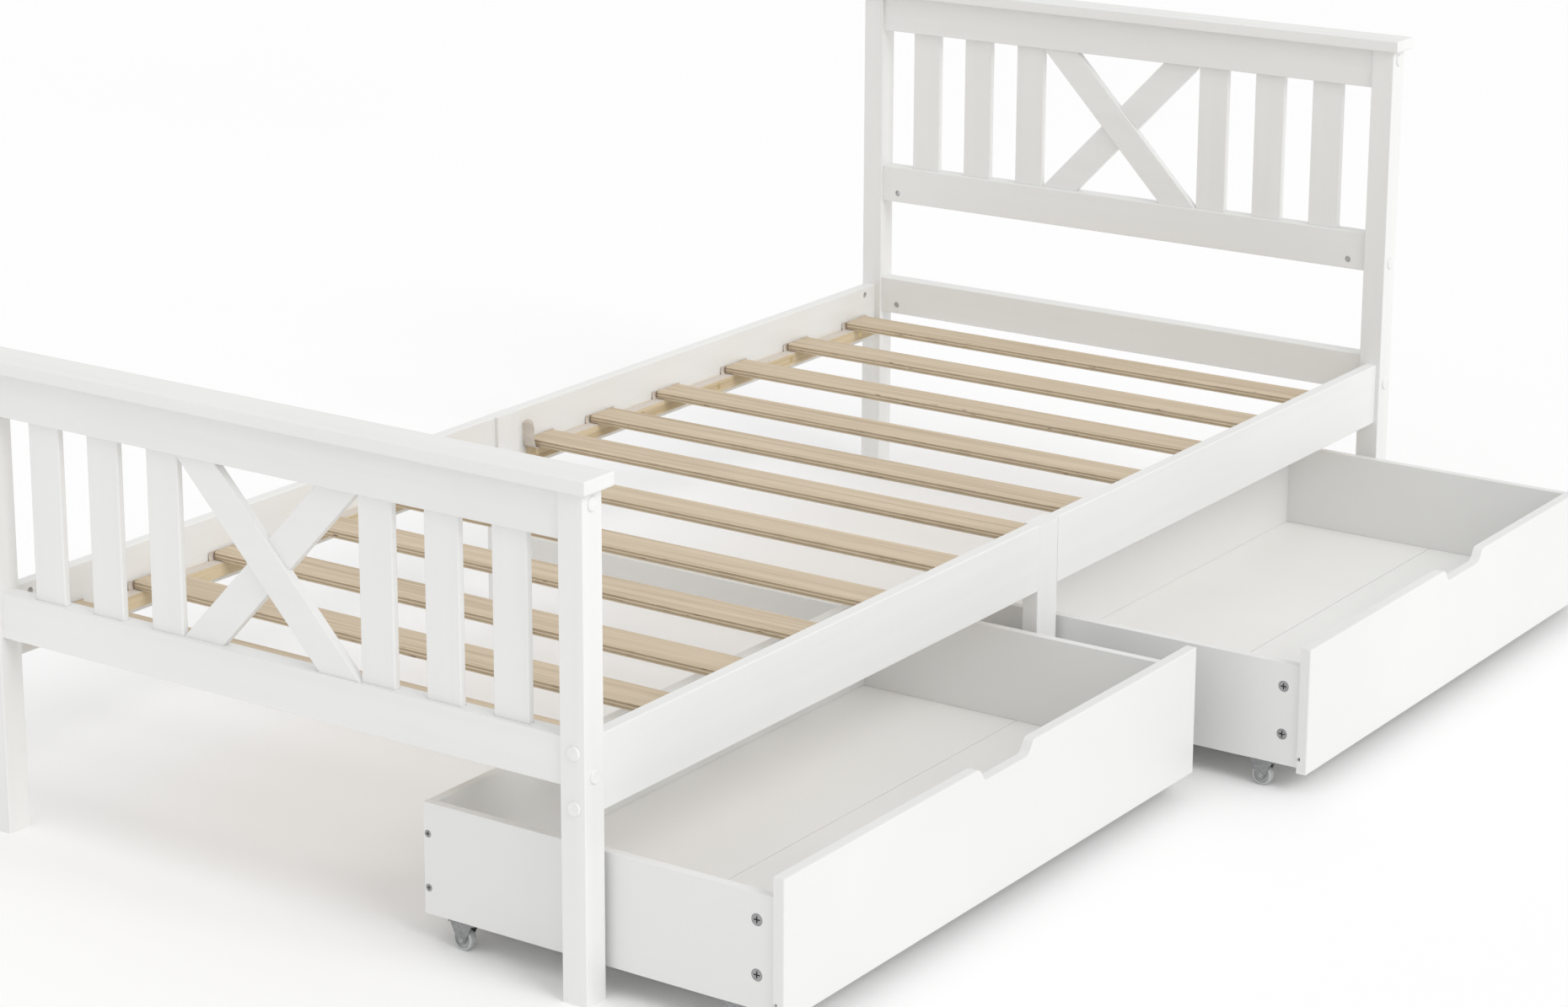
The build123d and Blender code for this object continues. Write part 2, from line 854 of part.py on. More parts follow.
def floor_groove(x_range, y_range):
    """Cuts the groove that holds the drawer floor."""
    z_range = (floor_bottom - drawer_groove_clearance, floor_top + drawer_groove_clearance)
    add(board(x_range, y_range, z_range, 0), mode=Mode.SUBTRACT)


def scoop_cutter(middle_y, front_x):
    """The finger cut-out: a flat-bottomed dip whose ends rise in a smooth double curve."""
    top = drawer_front_bottom + drawer_front_height
    half = finger_scoop_width / 2
    dip = top - finger_scoop_depth
    across = Plane(origin=(bed_x + front_x, middle_y, 0), x_dir=(0, 1, 0), z_dir=(1, 0, 0))
    with BuildPart() as cutter:
        with BuildSketch(across):
            with BuildLine():
                Spline(
                    (-half, top),
                    (-half + finger_scoop_slope, dip),
                    tangents=((1, 0), (1, 0)),
                )
                Line((-half + finger_scoop_slope, dip), (half - finger_scoop_slope, dip))
                Spline(
                    (half - finger_scoop_slope, dip),
                    (half, top),
                    tangents=((1, 0), (1, 0)),
                )
                above = top + finger_scoop_depth
                Polyline((half, top), (half, above), (-half, above), (-half, top))
            make_face()
        extrude(amount=-drawer_front_thickness)
    return cutter.part


def make_cam(x, y, z, direction):
    """A cam lock: a short drum with a crossed slot in its face."""
    slot_reach = cam_radius * cam_slot_reach
    slot_y = sorted((y, y + direction[1] * cam_slot_depth))
    with BuildPart() as cam:
        add(round_bar(x, y, z, direction, cam_radius, cam_depth))
        for reach_x, reach_z in ((slot_reach, cam_slot_width / 2), (cam_slot_width / 2, slot_reach)):
            slot = board((x - reach_x, x + reach_x), slot_y, (z - reach_z, z + reach_z), 0)
            add(slot, mode=Mode.SUBTRACT)
    return cam.part


def castor_ear(x, y, way):
    """One cheek of a castor bracket, from a face plane along the width of the castor."""
    plate_bottom = castor_height - castor_metal
    ear_plane = Plane(origin=(bed_x + x, y, 0), x_dir=(1, 0, 0), z_dir=(0, -1, 0))
    with BuildPart() as ear:
        with BuildSketch(ear_plane):
            with Locations((0, wheel_radius)):
                Circle(castor_ear_radius)
            Polygon(
                (-castor_ear_root / 2, plate_bottom),
                (castor_ear_root / 2, plate_bottom),
                (castor_ear_radius, wheel_radius),
                (-castor_ear_radius, wheel_radius),
                align=None,
            )
        extrude(amount=way * castor_metal)
    return ear.part


def make_bracket(x, y, screw_y):
    """A castor bracket: a screwed plate with two cheeks that carry the axle."""
    half_length = castor_plate_length / 2
    half_width = castor_width / 2
    plate_bottom = castor_height - castor_metal
    with BuildPart() as bracket:
        add(
            board(
                (x - half_length, x + half_length),
                (y - half_width, y + half_width),
                (plate_bottom, castor_height),
                0,
            )
        )
        for way in (-1, 1):
            add(castor_ear(x, y + way * half_width, way))
        drill(x, y - half_width, wheel_radius, (0, 1, 0), axle_radius, castor_width)
        for step in (-1, 1):
            screw_x = x + step * castor_screw_place
            drill(screw_x, screw_y, plate_bottom, (0, 0, 1), castor_screw_radius, castor_metal)
    return bracket.part


for drawer, (middle_y, pulled_out) in drawers.items():
    front_x = rail_outer + pulled_out
    front_back_x = front_x - drawer_front_thickness
    back_x = front_x - drawer_depth
    back_inner_x = back_x + drawer_side_thickness
    floor_front_x = front_back_x + drawer_groove_depth
    floor_back_x = back_inner_x - drawer_groove_depth
    groove = drawer_groove_depth + drawer_groove_clearance
    fronts_top = drawer_front_bottom + drawer_front_height
    castor_xs = (back_x + castor_end_distance, front_back_x - castor_end_distance)
    castor_y = box_half - castor_width / 2

    with BuildPart() as front:
        add(
            board(
                (front_back_x, front_x),
                (middle_y - drawer_span / 2, middle_y + drawer_span / 2),
                (drawer_front_bottom, fronts_top),
                0,
            )
        )
        add(scoop_cutter(middle_y, front_x), mode=Mode.SUBTRACT)
        rim = front.faces().sort_by(Axis.X)[-1].edges()
        fillet(rim, drawer_front_edge)
        floor_groove(
            (front_back_x - cut_overrun, front_back_x + groove),
            (middle_y - drawer_span, middle_y + drawer_span),
        )
        for side in SIDES.values():
            for height in cam_heights:
                drill(
                    front_back_x,
                    middle_y + side * (box_half - drawer_side_thickness / 2),
                    height,
                    (1, 0, 0),
                    cam_bolt_radius,
                    cam_bolt_in_front,
                )
    save(front.part, f"{drawer}_front")

    for end_name, end in ENDS.items():
        y_outer = middle_y + end * box_half
        y_inner = middle_y + end * inner_half
        with BuildPart() as wall:
            add(
                board(
                    (back_x, front_back_x),
                    sorted((y_inner, y_outer)),
                    (drawer_side_bottom, drawer_side_top),
                    drawer_side_edge,
                )
            )
            floor_groove(
                (back_x - cut_overrun, front_back_x + cut_overrun),
                sorted((y_inner - end * cut_overrun, y_inner + end * groove)),
            )
            for height in cam_heights:
                cam_x = front_back_x - cam_distance
                drill(cam_x, y_outer, height, (0, -end, 0), cam_radius + fit_clearance, cam_depth)
                bolt_y = middle_y + end * (box_half - drawer_side_thickness / 2)
                drill(front_back_x, bolt_y, height, (-1, 0, 0), cam_bolt_radius, cam_distance)
            for height in drawer_screw_heights:
                screw_x = back_x + drawer_side_thickness / 2
                cut_screw_hole(screw_x, y_outer, height, (0, -end, 0), drawer_side_thickness)
            for castor_x in castor_xs:
                for step in (-1, 1):
                    drill(
                        castor_x + step * castor_screw_place,
                        middle_y + end * (box_half - drawer_side_thickness / 2),
                        drawer_side_bottom,
                        (0, 0, 1),
                        castor_screw_radius,
                        castor_screw_length,
                    )
        save(wall.part, f"{drawer}_side_{end_name}")

    with BuildPart() as back:
        add(
            board(
                (back_x, back_inner_x),
                (middle_y - inner_half, middle_y + inner_half),
                (drawer_side_bottom, drawer_side_top),
                drawer_side_edge,
            )
        )
        floor_groove(
            (back_inner_x - groove, back_inner_x + cut_overrun),
            (middle_y - drawer_span, middle_y + drawer_span),
        )
        for end in ENDS.values():
            for height in drawer_screw_heights:
                drill(
                    back_x + drawer_side_thickness / 2,
                    middle_y + end * inner_half,
                    height,
                    (0, -end, 0),
                    screw_radius,
                    drawer_screw_length - drawer_side_thickness,
                )
    save(back.part, f"{drawer}_back")

    # The floor is two thin boards that meet along the middle of the drawer.
    floor_middle = (floor_back_x + floor_front_x) / 2
    floor_half = inner_half + drawer_groove_depth
    with BuildPart() as floor:
        board_gap = drawer_floor_seam / 2
        for x_range in (
            (floor_back_x, floor_middle - board_gap),
            (floor_middle + board_gap, floor_front_x),
        ):
            add(
                board(
                    x_range,
                    (middle_y - floor_half, middle_y + floor_half),
                    (floor_bottom, floor_top),
                    0,
                )
            )
    save(floor.part, f"{drawer}_floor")

    with BuildPart() as fittings:
        for end in ENDS.values():
            y_outer = middle_y + end * box_half
            for height in cam_heights:
                cam_x = front_back_x - cam_distance
                add(make_cam(cam_x, y_outer, height, (0, -end, 0)))
                bolt_y = middle_y + end * (box_half - drawer_side_thickness / 2)
                bolt_start = cam_x + cam_radius + 2 * fit_clearance
                bolt_end = front_back_x + cam_bolt_in_front - fit_clearance
                add(
                    round_bar(
                        bolt_start,
                        bolt_y,
                        height,
                        (1, 0, 0),
                        cam_bolt_radius - fit_clearance,
                        bolt_end - bolt_start,
                    )
                )
            for height in drawer_screw_heights:
                screw_x = back_x + drawer_side_thickness / 2
                screw_length = drawer_screw_length - fit_clearance
                add(make_screw(screw_x, y_outer, height, (0, -end, 0), screw_length))
            for castor_x in castor_xs:
                for step in (-1, 1):
                    place_x = castor_x + step * castor_screw_place
                    place_y = middle_y + end * (box_half - drawer_side_thickness / 2)
                    plate_bottom = castor_height - castor_metal
                    add(
                        round_bar(
                            place_x,
                            place_y,
                            plate_bottom - castor_screw_head_height,
                            (0, 0, 1),
                            castor_screw_head_radius,
                            castor_screw_head_height,
                        )
                    )
                    add(
                        round_bar(
                            place_x,
                            place_y,
                            plate_bottom,
                            (0, 0, 1),
                            castor_screw_radius,
                            castor_metal + castor_screw_length - fit_clearance,
                        )
                    )
    save(fittings.part, f"{drawer}_fittings")

    castor_places = [(castor_x, end) for end in ENDS.values() for castor_x in castor_xs]
    with BuildPart() as brackets:
        for castor_x, end in castor_places:
            screw_y = middle_y + end * (box_half - drawer_side_thickness / 2)
            add(make_bracket(castor_x, middle_y + end * castor_y, screw_y))
    save(brackets.part, f"{drawer}_castor_brackets")

    with BuildPart() as axles:
        for castor_x, end in castor_places:
            y_middle = middle_y + end * castor_y
            near_face = y_middle - castor_width / 2
            add(round_bar(castor_x, near_face, wheel_radius, (0, 1, 0), axle_radius, castor_width))
            for face_y, way in ((near_face, -1), (near_face + castor_width, 1)):
                add(
                    round_bar(
                        castor_x, face_y, wheel_radius, (0, way, 0), axle_head_radius, axle_head_height
                    )
                )
    save(axles.part, f"{drawer}_castor_axles")

    for index, (castor_x, end) in enumerate(castor_places, start=1):
        wheel_start = middle_y + end * castor_y - wheel_width / 2
        with BuildPart() as wheel:
            add(round_bar(castor_x, wheel_start, wheel_radius, (0, 1, 0), wheel_radius, wheel_width))
            fillet(wheel.edges(), wheel_edge)
            bore_radius = axle_radius + axle_clearance
            drill(castor_x, wheel_start, wheel_radius, (0, 1, 0), bore_radius, wheel_width)
        save(wheel.part, f"{drawer}_castor_wheel_{index}")
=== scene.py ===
"""Looks of a painted single bed frame with two rolling drawers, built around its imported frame."""

import logging
import math
from dataclasses import dataclass, field
from enum import Enum

import bmesh
import bpy
from mathutils import Matrix, Vector


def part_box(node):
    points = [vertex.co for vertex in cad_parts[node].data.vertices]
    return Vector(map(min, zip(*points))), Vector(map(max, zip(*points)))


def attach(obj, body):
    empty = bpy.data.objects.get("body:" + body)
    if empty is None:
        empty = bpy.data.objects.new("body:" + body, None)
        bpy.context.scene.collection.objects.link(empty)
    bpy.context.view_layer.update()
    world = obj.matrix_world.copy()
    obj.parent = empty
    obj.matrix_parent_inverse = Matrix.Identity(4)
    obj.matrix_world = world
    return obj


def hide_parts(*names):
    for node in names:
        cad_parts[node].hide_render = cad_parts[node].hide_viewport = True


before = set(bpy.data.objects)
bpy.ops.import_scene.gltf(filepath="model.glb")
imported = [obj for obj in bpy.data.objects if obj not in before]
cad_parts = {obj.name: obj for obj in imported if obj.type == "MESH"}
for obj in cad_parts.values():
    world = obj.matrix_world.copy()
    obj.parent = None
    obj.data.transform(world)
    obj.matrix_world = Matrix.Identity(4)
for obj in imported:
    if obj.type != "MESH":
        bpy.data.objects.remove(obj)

logging.basicConfig(level=logging.INFO, format="%(message)s")
log = logging.getLogger("bed")

Colour = tuple[float, float, float]
Scale = tuple[float, float, float]
Outline = list[tuple[float, float]]

# Vertices closer than this, in metres, are one. A turned shape has the finer limit.
WELD = 0.00001
FINE_WELD = 0.000005
# Edges that turn by more than this, in degrees, are drawn sharp.
CREASE = 32.0


class Grain(Enum):
    """Which way the fibres of a board run."""

    ALONG_X = (1.0, 0.0, 0.0)
    ALONG_Y = (0.0, 1.0, 0.0)
    ALONG_Z = (0.0, 0.0, 1.0)

    def scale(self, along: float, across: float) -> Scale:
        """Scale of a pattern that is drawn out along the fibres.

        Args:
            along: scale in the direction of the fibres.
            across: scale in the other two directions.

        Returns:
            The scale for the three axes.
        """
        return tuple(along if way else across for way in self.value)


class Tree:
    """A material's node tree, with short ways to add and join its nodes."""

    def __init__(self, name: str) -> None:
        """Starts a material with a Principled shader.

        Args:
            name: the material's name.
        """
        self.material = bpy.data.materials.new(name)
        self.material.use_nodes = True
        self.nodes = self.material.node_tree.nodes
        self.links = self.material.node_tree.links
        self.shader = self.nodes["Principled BSDF"]
        self.place = self.nodes.new("ShaderNodeTexCoord").outputs["Object"]

    def join(self, source: bpy.types.NodeSocket, target: bpy.types.NodeSocket) -> None:
        """Joins an output to an input."""
        self.links.new(source, target)

    def add(self, kind: str, inputs: dict | None = None, **settings) -> bpy.types.Node:
        """Adds a node.

        Args:
            kind: the node's type without its ShaderNode prefix.
            inputs: input name or number to a value, or to the output that feeds it.
            **settings: the node's own properties.

        Returns:
            The new node.
        """
        made = self.nodes.new("ShaderNode" + kind)
        for key, value in settings.items():
            setattr(made, key, value)
        for key, value in (inputs or {}).items():
            if isinstance(value, bpy.types.NodeSocket):
                self.join(value, made.inputs[key])
            else:
                made.inputs[key].default_value = value
        return made

    def noise(
        self, scale: float | Scale, detail: float = 4.0, rough: float = 0.5, twist: float = 0.0
    ) -> bpy.types.NodeSocket:
        """A noise pattern on the piece's own coordinates.

        Args:
            scale: scale of the pattern per metre, one for all three axes or one for each.
            detail: octaves of finer noise.
            rough: strength of the finer noise.
            twist: how far the pattern is distorted.

        Returns:
            The pattern's factor, from 0 to 1.
        """
        axes = (scale, scale, scale) if isinstance(scale, float) else scale
        spread = self.add("Mapping", {"Vector": self.place, "Scale": axes})
        made = self.add(
            "TexNoise",
            {
                "Vector": spread.outputs[0],
                "Scale": 1.0,
                "Detail": detail,
                "Roughness": rough,
                "Distortion": twist,
            },
        )
        return made.outputs["Fac"]

    def maths(self, operation: str, first, second=0.0, third=0.0) -> bpy.types.NodeSocket:
        """A sum on numbers or outputs.

        Args:
            operation: the Math node's operation.
            first: a number or an output.
            second: a number or an output.
            third: a number or an output.

        Returns:
            The result.
        """
        made = self.add("Math", {0: first, 1: second, 2: third}, operation=operation)
        return made.outputs[0]

    def ramp(
        self, factor: bpy.types.NodeSocket, stops: list[tuple[float, Colour]]
    ) -> bpy.types.NodeSocket:
        """Turns a factor into colours.

        Args:
            factor: the output to read.
            stops: places from 0 to 1, and the colour at each.

        Returns:
            The colour.
        """
        made = self.add("ValToRGB", {"Fac": factor})
        band = made.color_ramp
        while len(band.elements) < len(stops):
            band.elements.new(0.5)
        for stop, (place, colour) in zip(band.elements, stops):
            stop.position = place
            stop.color = (*colour, 1.0)
        return made.outputs["Color"]

    def level(
        self, factor: bpy.types.NodeSocket, low: float, high: float, start: float = 0.0, end: float = 1.0
    ) -> bpy.types.NodeSocket:
        """Maps a range of a factor onto another range, held at its ends.

        Args:
            factor: the output to read.
            low: where the range starts.
            high: where the range ends.
            start: the result at its start.
            end: the result at its end.

        Returns:
            The mapped factor.
        """
        made = self.add(
            "MapRange", {"Value": factor, 1: low, 2: high, 3: start, 4: end}, clamp=True
        )
        return made.outputs[0]

    def mix(self, factor, first, second, way: str = "MIX") -> bpy.types.NodeSocket:
        """Blends two colours.

        Args:
            factor: a number or an output.
            first: the first colour or its output.
            second: the second colour or its output.
            way: the blend type.

        Returns:
            The blended colour.
        """
        full = [(*v, 1.0) if isinstance(v, tuple) else v for v in (first, second)]
        made = self.add(
            "Mix", {0: factor, 6: full[0], 7: full[1]}, data_type="RGBA", blend_type=way
        )
        return made.outputs[2]

    def bump(
        self, height: bpy.types.NodeSocket, depth: float, strength: float = 1.0, under=None
    ) -> bpy.types.NodeSocket:
        """Relief in the surface.

        Args:
            height: the pattern of the relief.
            depth: its height in metres.
            strength: how much of it shows.
            under: the output of a coarser relief, if there is one.

        Returns:
            The bent normal.
        """
        inputs = {"Height": height, "Distance": depth, "Strength": strength}
        if under is not None:
            inputs["Normal"] = under
        return self.add("Bump", inputs).outputs[0]

    def finish(self, **inputs) -> bpy.types.Material:
        """Sets or feeds the shader's own inputs.

        Args:
            **inputs: the input's name with underscores for spaces, and a value or an output.

        Returns:
            The material.
        """
        for key, value in inputs.items():
            socket = self.shader.inputs[key.replace("_", " ")]
            if isinstance(value, bpy.types.NodeSocket):
                self.join(value, socket)
            else:
                socket.default_value = (*value, 1.0) if isinstance(value, tuple) else value
        return self.material


@dataclass(frozen=True)
class PaintedTimber:
    """White lacquer on planed softwood: fibres just show through it as a soft relief."""

    name: str
    grain: Grain
    colour: Colour = (0.835, 0.835, 0.822)
    shade: Colour = (0.80, 0.80, 0.787)
    roughness: float = 0.38

    def build(self) -> bpy.types.Material:
        """Makes the material.

        Returns:
            The material.
        """
        tree = Tree(self.name)
        cloud = tree.noise(3.0, detail=2.0)
        fibres = tree.noise(self.grain.scale(4.0, 260.0), detail=5.0, rough=0.6)
        bands = tree.noise(self.grain.scale(1.2, 38.0), detail=3.0, rough=0.5, twist=0.4)
        peel = tree.noise(520.0, detail=2.0)
        blend = tree.maths("MULTIPLY_ADD", bands, 0.5, tree.maths("MULTIPLY", cloud, 0.5))
        gloss = tree.level(bands, 0.3, 0.7, self.roughness - 0.04, self.roughness + 0.07)
        relief = tree.bump(fibres, depth=0.00012, strength=0.35)
        relief = tree.bump(bands, depth=0.0004, strength=0.25, under=relief)
        relief = tree.bump(peel, depth=0.00004, strength=0.3, under=relief)
        return tree.finish(
            Base_Color=tree.mix(tree.level(blend, 0.35, 0.65), self.colour, self.shade),
            Roughness=gloss,
            Normal=relief,
            IOR=1.47,
            Coat_Weight=0.12,
            Coat_Roughness=0.22,
        )


@dataclass(frozen=True)
class PaintedBoard:
    """Sprayed lacquer on a smooth board, with a fine orange peel and no grain."""

    name: str
    colour: Colour = (0.80, 0.80, 0.79)
    shade: Colour = (0.77, 0.77, 0.76)
    roughness: float = 0.34

    def build(self) -> bpy.types.Material:
        """Makes the material.

        Returns:
            The material.
        """
        tree = Tree(self.name)
        cloud = tree.noise(2.2, detail=3.0)
        waves = tree.noise(30.0, detail=2.0)
        peel = tree.noise(420.0, detail=2.0)
        relief = tree.bump(waves, depth=0.0003, strength=0.12)
        relief = tree.bump(peel, depth=0.00005, strength=0.35, under=relief)
        return tree.finish(
            Base_Color=tree.mix(tree.level(cloud, 0.35, 0.65), self.colour, self.shade),
            Roughness=tree.level(waves, 0.3, 0.7, self.roughness - 0.03, self.roughness + 0.05),
            Normal=relief,
            IOR=1.48,
            Coat_Weight=0.15,
            Coat_Roughness=0.18,
        )


@dataclass(frozen=True)
class FoiledBoard:
    """White foil on thin hardboard, with the fine mottle of a printed surface."""

    name: str
    colour: Colour = (0.90, 0.90, 0.885)
    speck: Colour = (0.845, 0.845, 0.83)
    roughness: float = 0.42

    def build(self) -> bpy.types.Material:
        """Makes the material.

        Returns:
            The material.
        """
        tree = Tree(self.name)
        mottle = tree.noise(900.0, detail=3.0)
        cloud = tree.noise(4.0, detail=3.0)
        tone = tree.level(mottle, 0.45, 0.75, 0.0, 0.6)
        base = tree.mix(tone, self.colour, self.speck)
        base = tree.mix(tree.level(cloud, 0.4, 0.7, 0.0, 0.35), base, self.speck)
        return tree.finish(
            Base_Color=base,
            Roughness=tree.level(cloud, 0.3, 0.7, self.roughness - 0.05, self.roughness + 0.06),
            Normal=tree.bump(mottle, depth=0.00003, strength=0.4),
            IOR=1.46,
        )


@dataclass(frozen=True)
class Plywood:
    """Bare sanded plywood strips: long fibres on the faces, and the plies along the edges."""

    name: str
    underside: float
    thickness: float
    plies: int = 5
    light: Colour = (0.66, 0.55, 0.41)
    middle: Colour = (0.56, 0.455, 0.325)
    dark: Colour = (0.40, 0.305, 0.20)
    glue: Colour = (0.16, 0.11, 0.07)
    pale_ply: Colour = (0.72, 0.61, 0.45)
    first_seam: float = 0.0003
    waviness: float = 0.0004
    seam_share: float = 0.14

    def build(self) -> bpy.types.Material:
        """Makes the material.

        Returns:
            The material.
        """
        tree = Tree(self.name)
        fibres = tree.noise(Grain.ALONG_X.scale(5.0, 420.0), detail=6.0, rough=0.6)
        streaks = tree.noise(Grain.ALONG_X.scale(1.6, 95.0), detail=4.0, rough=0.55, twist=0.6)
        tones = tree.noise((0.5, 3.1, 0.5), detail=1.0)
        blend = tree.maths("MULTIPLY_ADD", streaks, 0.6, tree.maths("MULTIPLY", fibres, 0.4))
        face = tree.ramp(blend, [(0.34, self.dark), (0.46, self.middle), (0.60, self.light)])
        pores = tree.noise(Grain.ALONG_X.scale(14.0, 900.0), detail=3.0, rough=0.6)
        face = tree.mix(tree.level(pores, 0.56, 0.68, 0.0, 0.45), face, self.dark)
        face = tree.mix(tree.level(tones, 0.35, 0.65, 0.0, 0.35), face, self.light)
        height = tree.add("SeparateXYZ", {0: tree.place}).outputs["Z"]
        wobble = tree.noise((3.0, 0.7, 0.7), detail=1.0)
        shifted = tree.maths("MULTIPLY_ADD", wobble, self.waviness, height)
        layer = tree.maths("SUBTRACT", shifted, self.underside + self.first_seam)
        layer = tree.maths("MULTIPLY", layer, self.plies / self.thickness)
        within = tree.maths("FRACT", layer)
        odd = tree.maths("FRACT", tree.maths("MULTIPLY", tree.maths("FLOOR", layer), 0.5))
        end_grain = tree.noise(Grain.ALONG_X.scale(9.0, 700.0), detail=4.0, rough=0.6)
        ply = tree.mix(tree.maths("MULTIPLY", odd, 2.0), self.pale_ply, self.dark)
        ply = tree.mix(tree.level(end_grain, 0.35, 0.7, 0.0, 0.6), ply, self.middle)
        seam = tree.maths("LESS_THAN", within, self.seam_share)
        breaks = tree.noise(Grain.ALONG_X.scale(22.0, 30.0), detail=2.0)
        gaps = tree.level(breaks, 0.5, 0.6, start=0.25)
        ply = tree.mix(tree.maths("MULTIPLY", seam, gaps), ply, self.glue)
        voids = tree.noise(Grain.ALONG_X.scale(34.0, 420.0), detail=2.0)
        ply = tree.mix(tree.level(voids, 0.70, 0.73), ply, self.glue)
        normal = tree.add("NewGeometry").outputs["Normal"]
        upright = tree.maths("ABSOLUTE", tree.add("SeparateXYZ", {0: normal}).outputs["Z"])
        on_edge = tree.level(upright, 0.62, 0.80, 1.0, 0.0)
        relief = tree.bump(fibres, depth=0.00025, strength=0.5)
        relief = tree.bump(streaks, depth=0.0003, strength=0.25, under=relief)
        return tree.finish(
            Base_Color=tree.mix(on_edge, face, ply),
            Roughness=tree.level(fibres, 0.3, 0.7, 0.55, 0.72),
            Normal=relief,
            IOR=1.45,
        )


@dataclass(frozen=True)
class BareTimber:
    """Bare planed softwood with growth lines drawn out along the board."""

    name: str
    grain: Grain
    light: Colour = (0.66, 0.545, 0.365)
    dark: Colour = (0.50, 0.385, 0.225)

    def build(self) -> bpy.types.Material:
        """Makes the material.

        Returns:
            The material.
        """
        tree = Tree(self.name)
        lines = tree.noise(self.grain.scale(1.1, 85.0), detail=3.0, rough=0.5, twist=1.2)
        fibres = tree.noise(self.grain.scale(7.0, 480.0), detail=5.0, rough=0.6)
        blend = tree.maths("MULTIPLY_ADD", lines, 0.7, tree.maths("MULTIPLY", fibres, 0.3))
        return tree.finish(
            Base_Color=tree.ramp(
                blend, [(0.36, self.dark), (0.50, self.light), (0.70, self.light)]
            ),
            Roughness=tree.level(fibres, 0.3, 0.7, 0.5, 0.68),
            Normal=tree.bump(fibres, depth=0.0002, strength=0.45),
            IOR=1.45,
        )


@dataclass(frozen=True)
class Webbing:
    """Beige woven strap: a fine weave of ribs, with brown flecks."""

    name: str
    colour: Colour = (0.72, 0.65, 0.575)
    fleck: Colour = (0.52, 0.42, 0.36)
    rib_colour: Colour = (0.72, 0.65, 0.58)
    rib: float = 0.0011

    def build(self) -> bpy.types.Material:
        """Makes the material.

        Returns:
            The material.
        """
        tree = Tree(self.name)
        turns = 2 * math.pi / self.rib
        parts = tree.add("SeparateXYZ", {0: tree.place})
        along = tree.maths("SINE", tree.maths("MULTIPLY", parts.outputs["Y"], turns))
        across = tree.maths("SINE", tree.maths("MULTIPLY", parts.outputs["X"], turns))
        weave = tree.maths("MULTIPLY", along, across)
        flecks = tree.noise((900.0, 260.0, 900.0), detail=3.0)
        warp = tree.level(weave, -1.0, 1.0, 0.0, 0.35)
        base = tree.mix(tree.level(flecks, 0.56, 0.64, 0.0, 0.7), self.colour, self.fleck)
        return tree.finish(
            Base_Color=tree.mix(warp, base, self.rib_colour),
            Roughness=0.85,
            Normal=tree.bump(weave, depth=0.0002, strength=0.7),
            Sheen_Weight=0.3,
            Sheen_Roughness=0.5,
        )


@dataclass(frozen=True)
class Metal:
    """Plated steel with a faint brushed haze and small spots."""

    name: str
    colour: Colour
    roughness: float
    dull_share: float = 0.72

    def build(self) -> bpy.types.Material:
        """Makes the material.

        Returns:
            The material.
        """
        tree = Tree(self.name)
        haze = tree.noise(260.0, detail=4.0)
        brush = tree.noise((90.0, 1400.0, 1400.0), detail=3.0)
        spots = tree.noise(1600.0, detail=2.0)
        dull = tuple(part * self.dull_share for part in self.colour)
        tone = tree.level(haze, 0.35, 0.7, 0.0, 0.8)
        return tree.finish(
            Base_Color=tree.mix(tone, self.colour, dull),
            Metallic=1.0,
            Roughness=tree.level(brush, 0.3, 0.7, self.roughness - 0.08, self.roughness + 0.12),
            Normal=tree.bump(spots, depth=0.00003, strength=0.3),
        )


@dataclass(frozen=True)
class MouldedPlastic:
    """Moulded plastic with a fine even texture and a soft sheen."""

    name: str
    colour: Colour
    roughness: float = 0.35
    depth: float = 0.00003
    dull_share: float = 0.94

    def build(self) -> bpy.types.Material:
        """Makes the material.

        Returns:
            The material.
        """
        tree = Tree(self.name)
        pits = tree.noise(1800.0, detail=2.0)
        cloud = tree.noise(70.0, detail=2.0)
        dull = tuple(part * self.dull_share for part in self.colour)
        return tree.finish(
            Base_Color=tree.mix(tree.level(cloud, 0.35, 0.65), self.colour, dull),
            Roughness=tree.level(pits, 0.3, 0.7, self.roughness - 0.05, self.roughness + 0.08),
            Normal=tree.bump(pits, depth=self.depth, strength=0.4),
            IOR=1.49,
        )


def dress(node: str, material: bpy.types.Material) -> None:
    """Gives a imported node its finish.

    Args:
        node: the node's name.
        material: its finish.
    """
    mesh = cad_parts[node].data
    mesh.materials.clear()
    mesh.materials.append(material)
    log.info("dressed %s with %s", node, material.name)


def settle(mesh: bmesh.types.BMesh, name: str, material: bpy.types.Material) -> bpy.types.Object:
    """Turns a finished bmesh into a shaded object at the origin.

    Args:
        mesh: the finished shape.
        name: the object's name.
        material: its finish.

    Returns:
        The object.
    """
    bmesh.ops.remove_doubles(mesh, verts=mesh.verts, dist=WELD)
    bmesh.ops.recalc_face_normals(mesh, faces=mesh.faces)
    data = bpy.data.meshes.new(name)
    mesh.to_mesh(data)
    mesh.free()
    data.shade_smooth()
    data.set_sharp_from_angle(angle=math.radians(CREASE))
    data.materials.append(material)
    made = bpy.data.objects.new(name, data)
    bpy.context.collection.objects.link(made)
    log.info("built %s", name)
    return made


def turned(place: Vector, outward: Vector) -> Matrix:
    """The place of a shape that is made about the origin with its face towards +Z.

    Args:
        place: the point that its face lies on.
        outward: the way that its face looks.

    Returns:
        The transform that puts it there.
    """
    return Matrix.Translation(place) @ outward.to_track_quat("Z", "Y").to_matrix().to_4x4()


def mirrored(half: Outline) -> Outline:
    """Closes the upper half of an outline with its mirror image below.

    Args:
        half: radius and height of each point above the middle.

    Returns:
        The whole outline.
    """
    return half + [(radius, -height) for radius, height in reversed(half)]


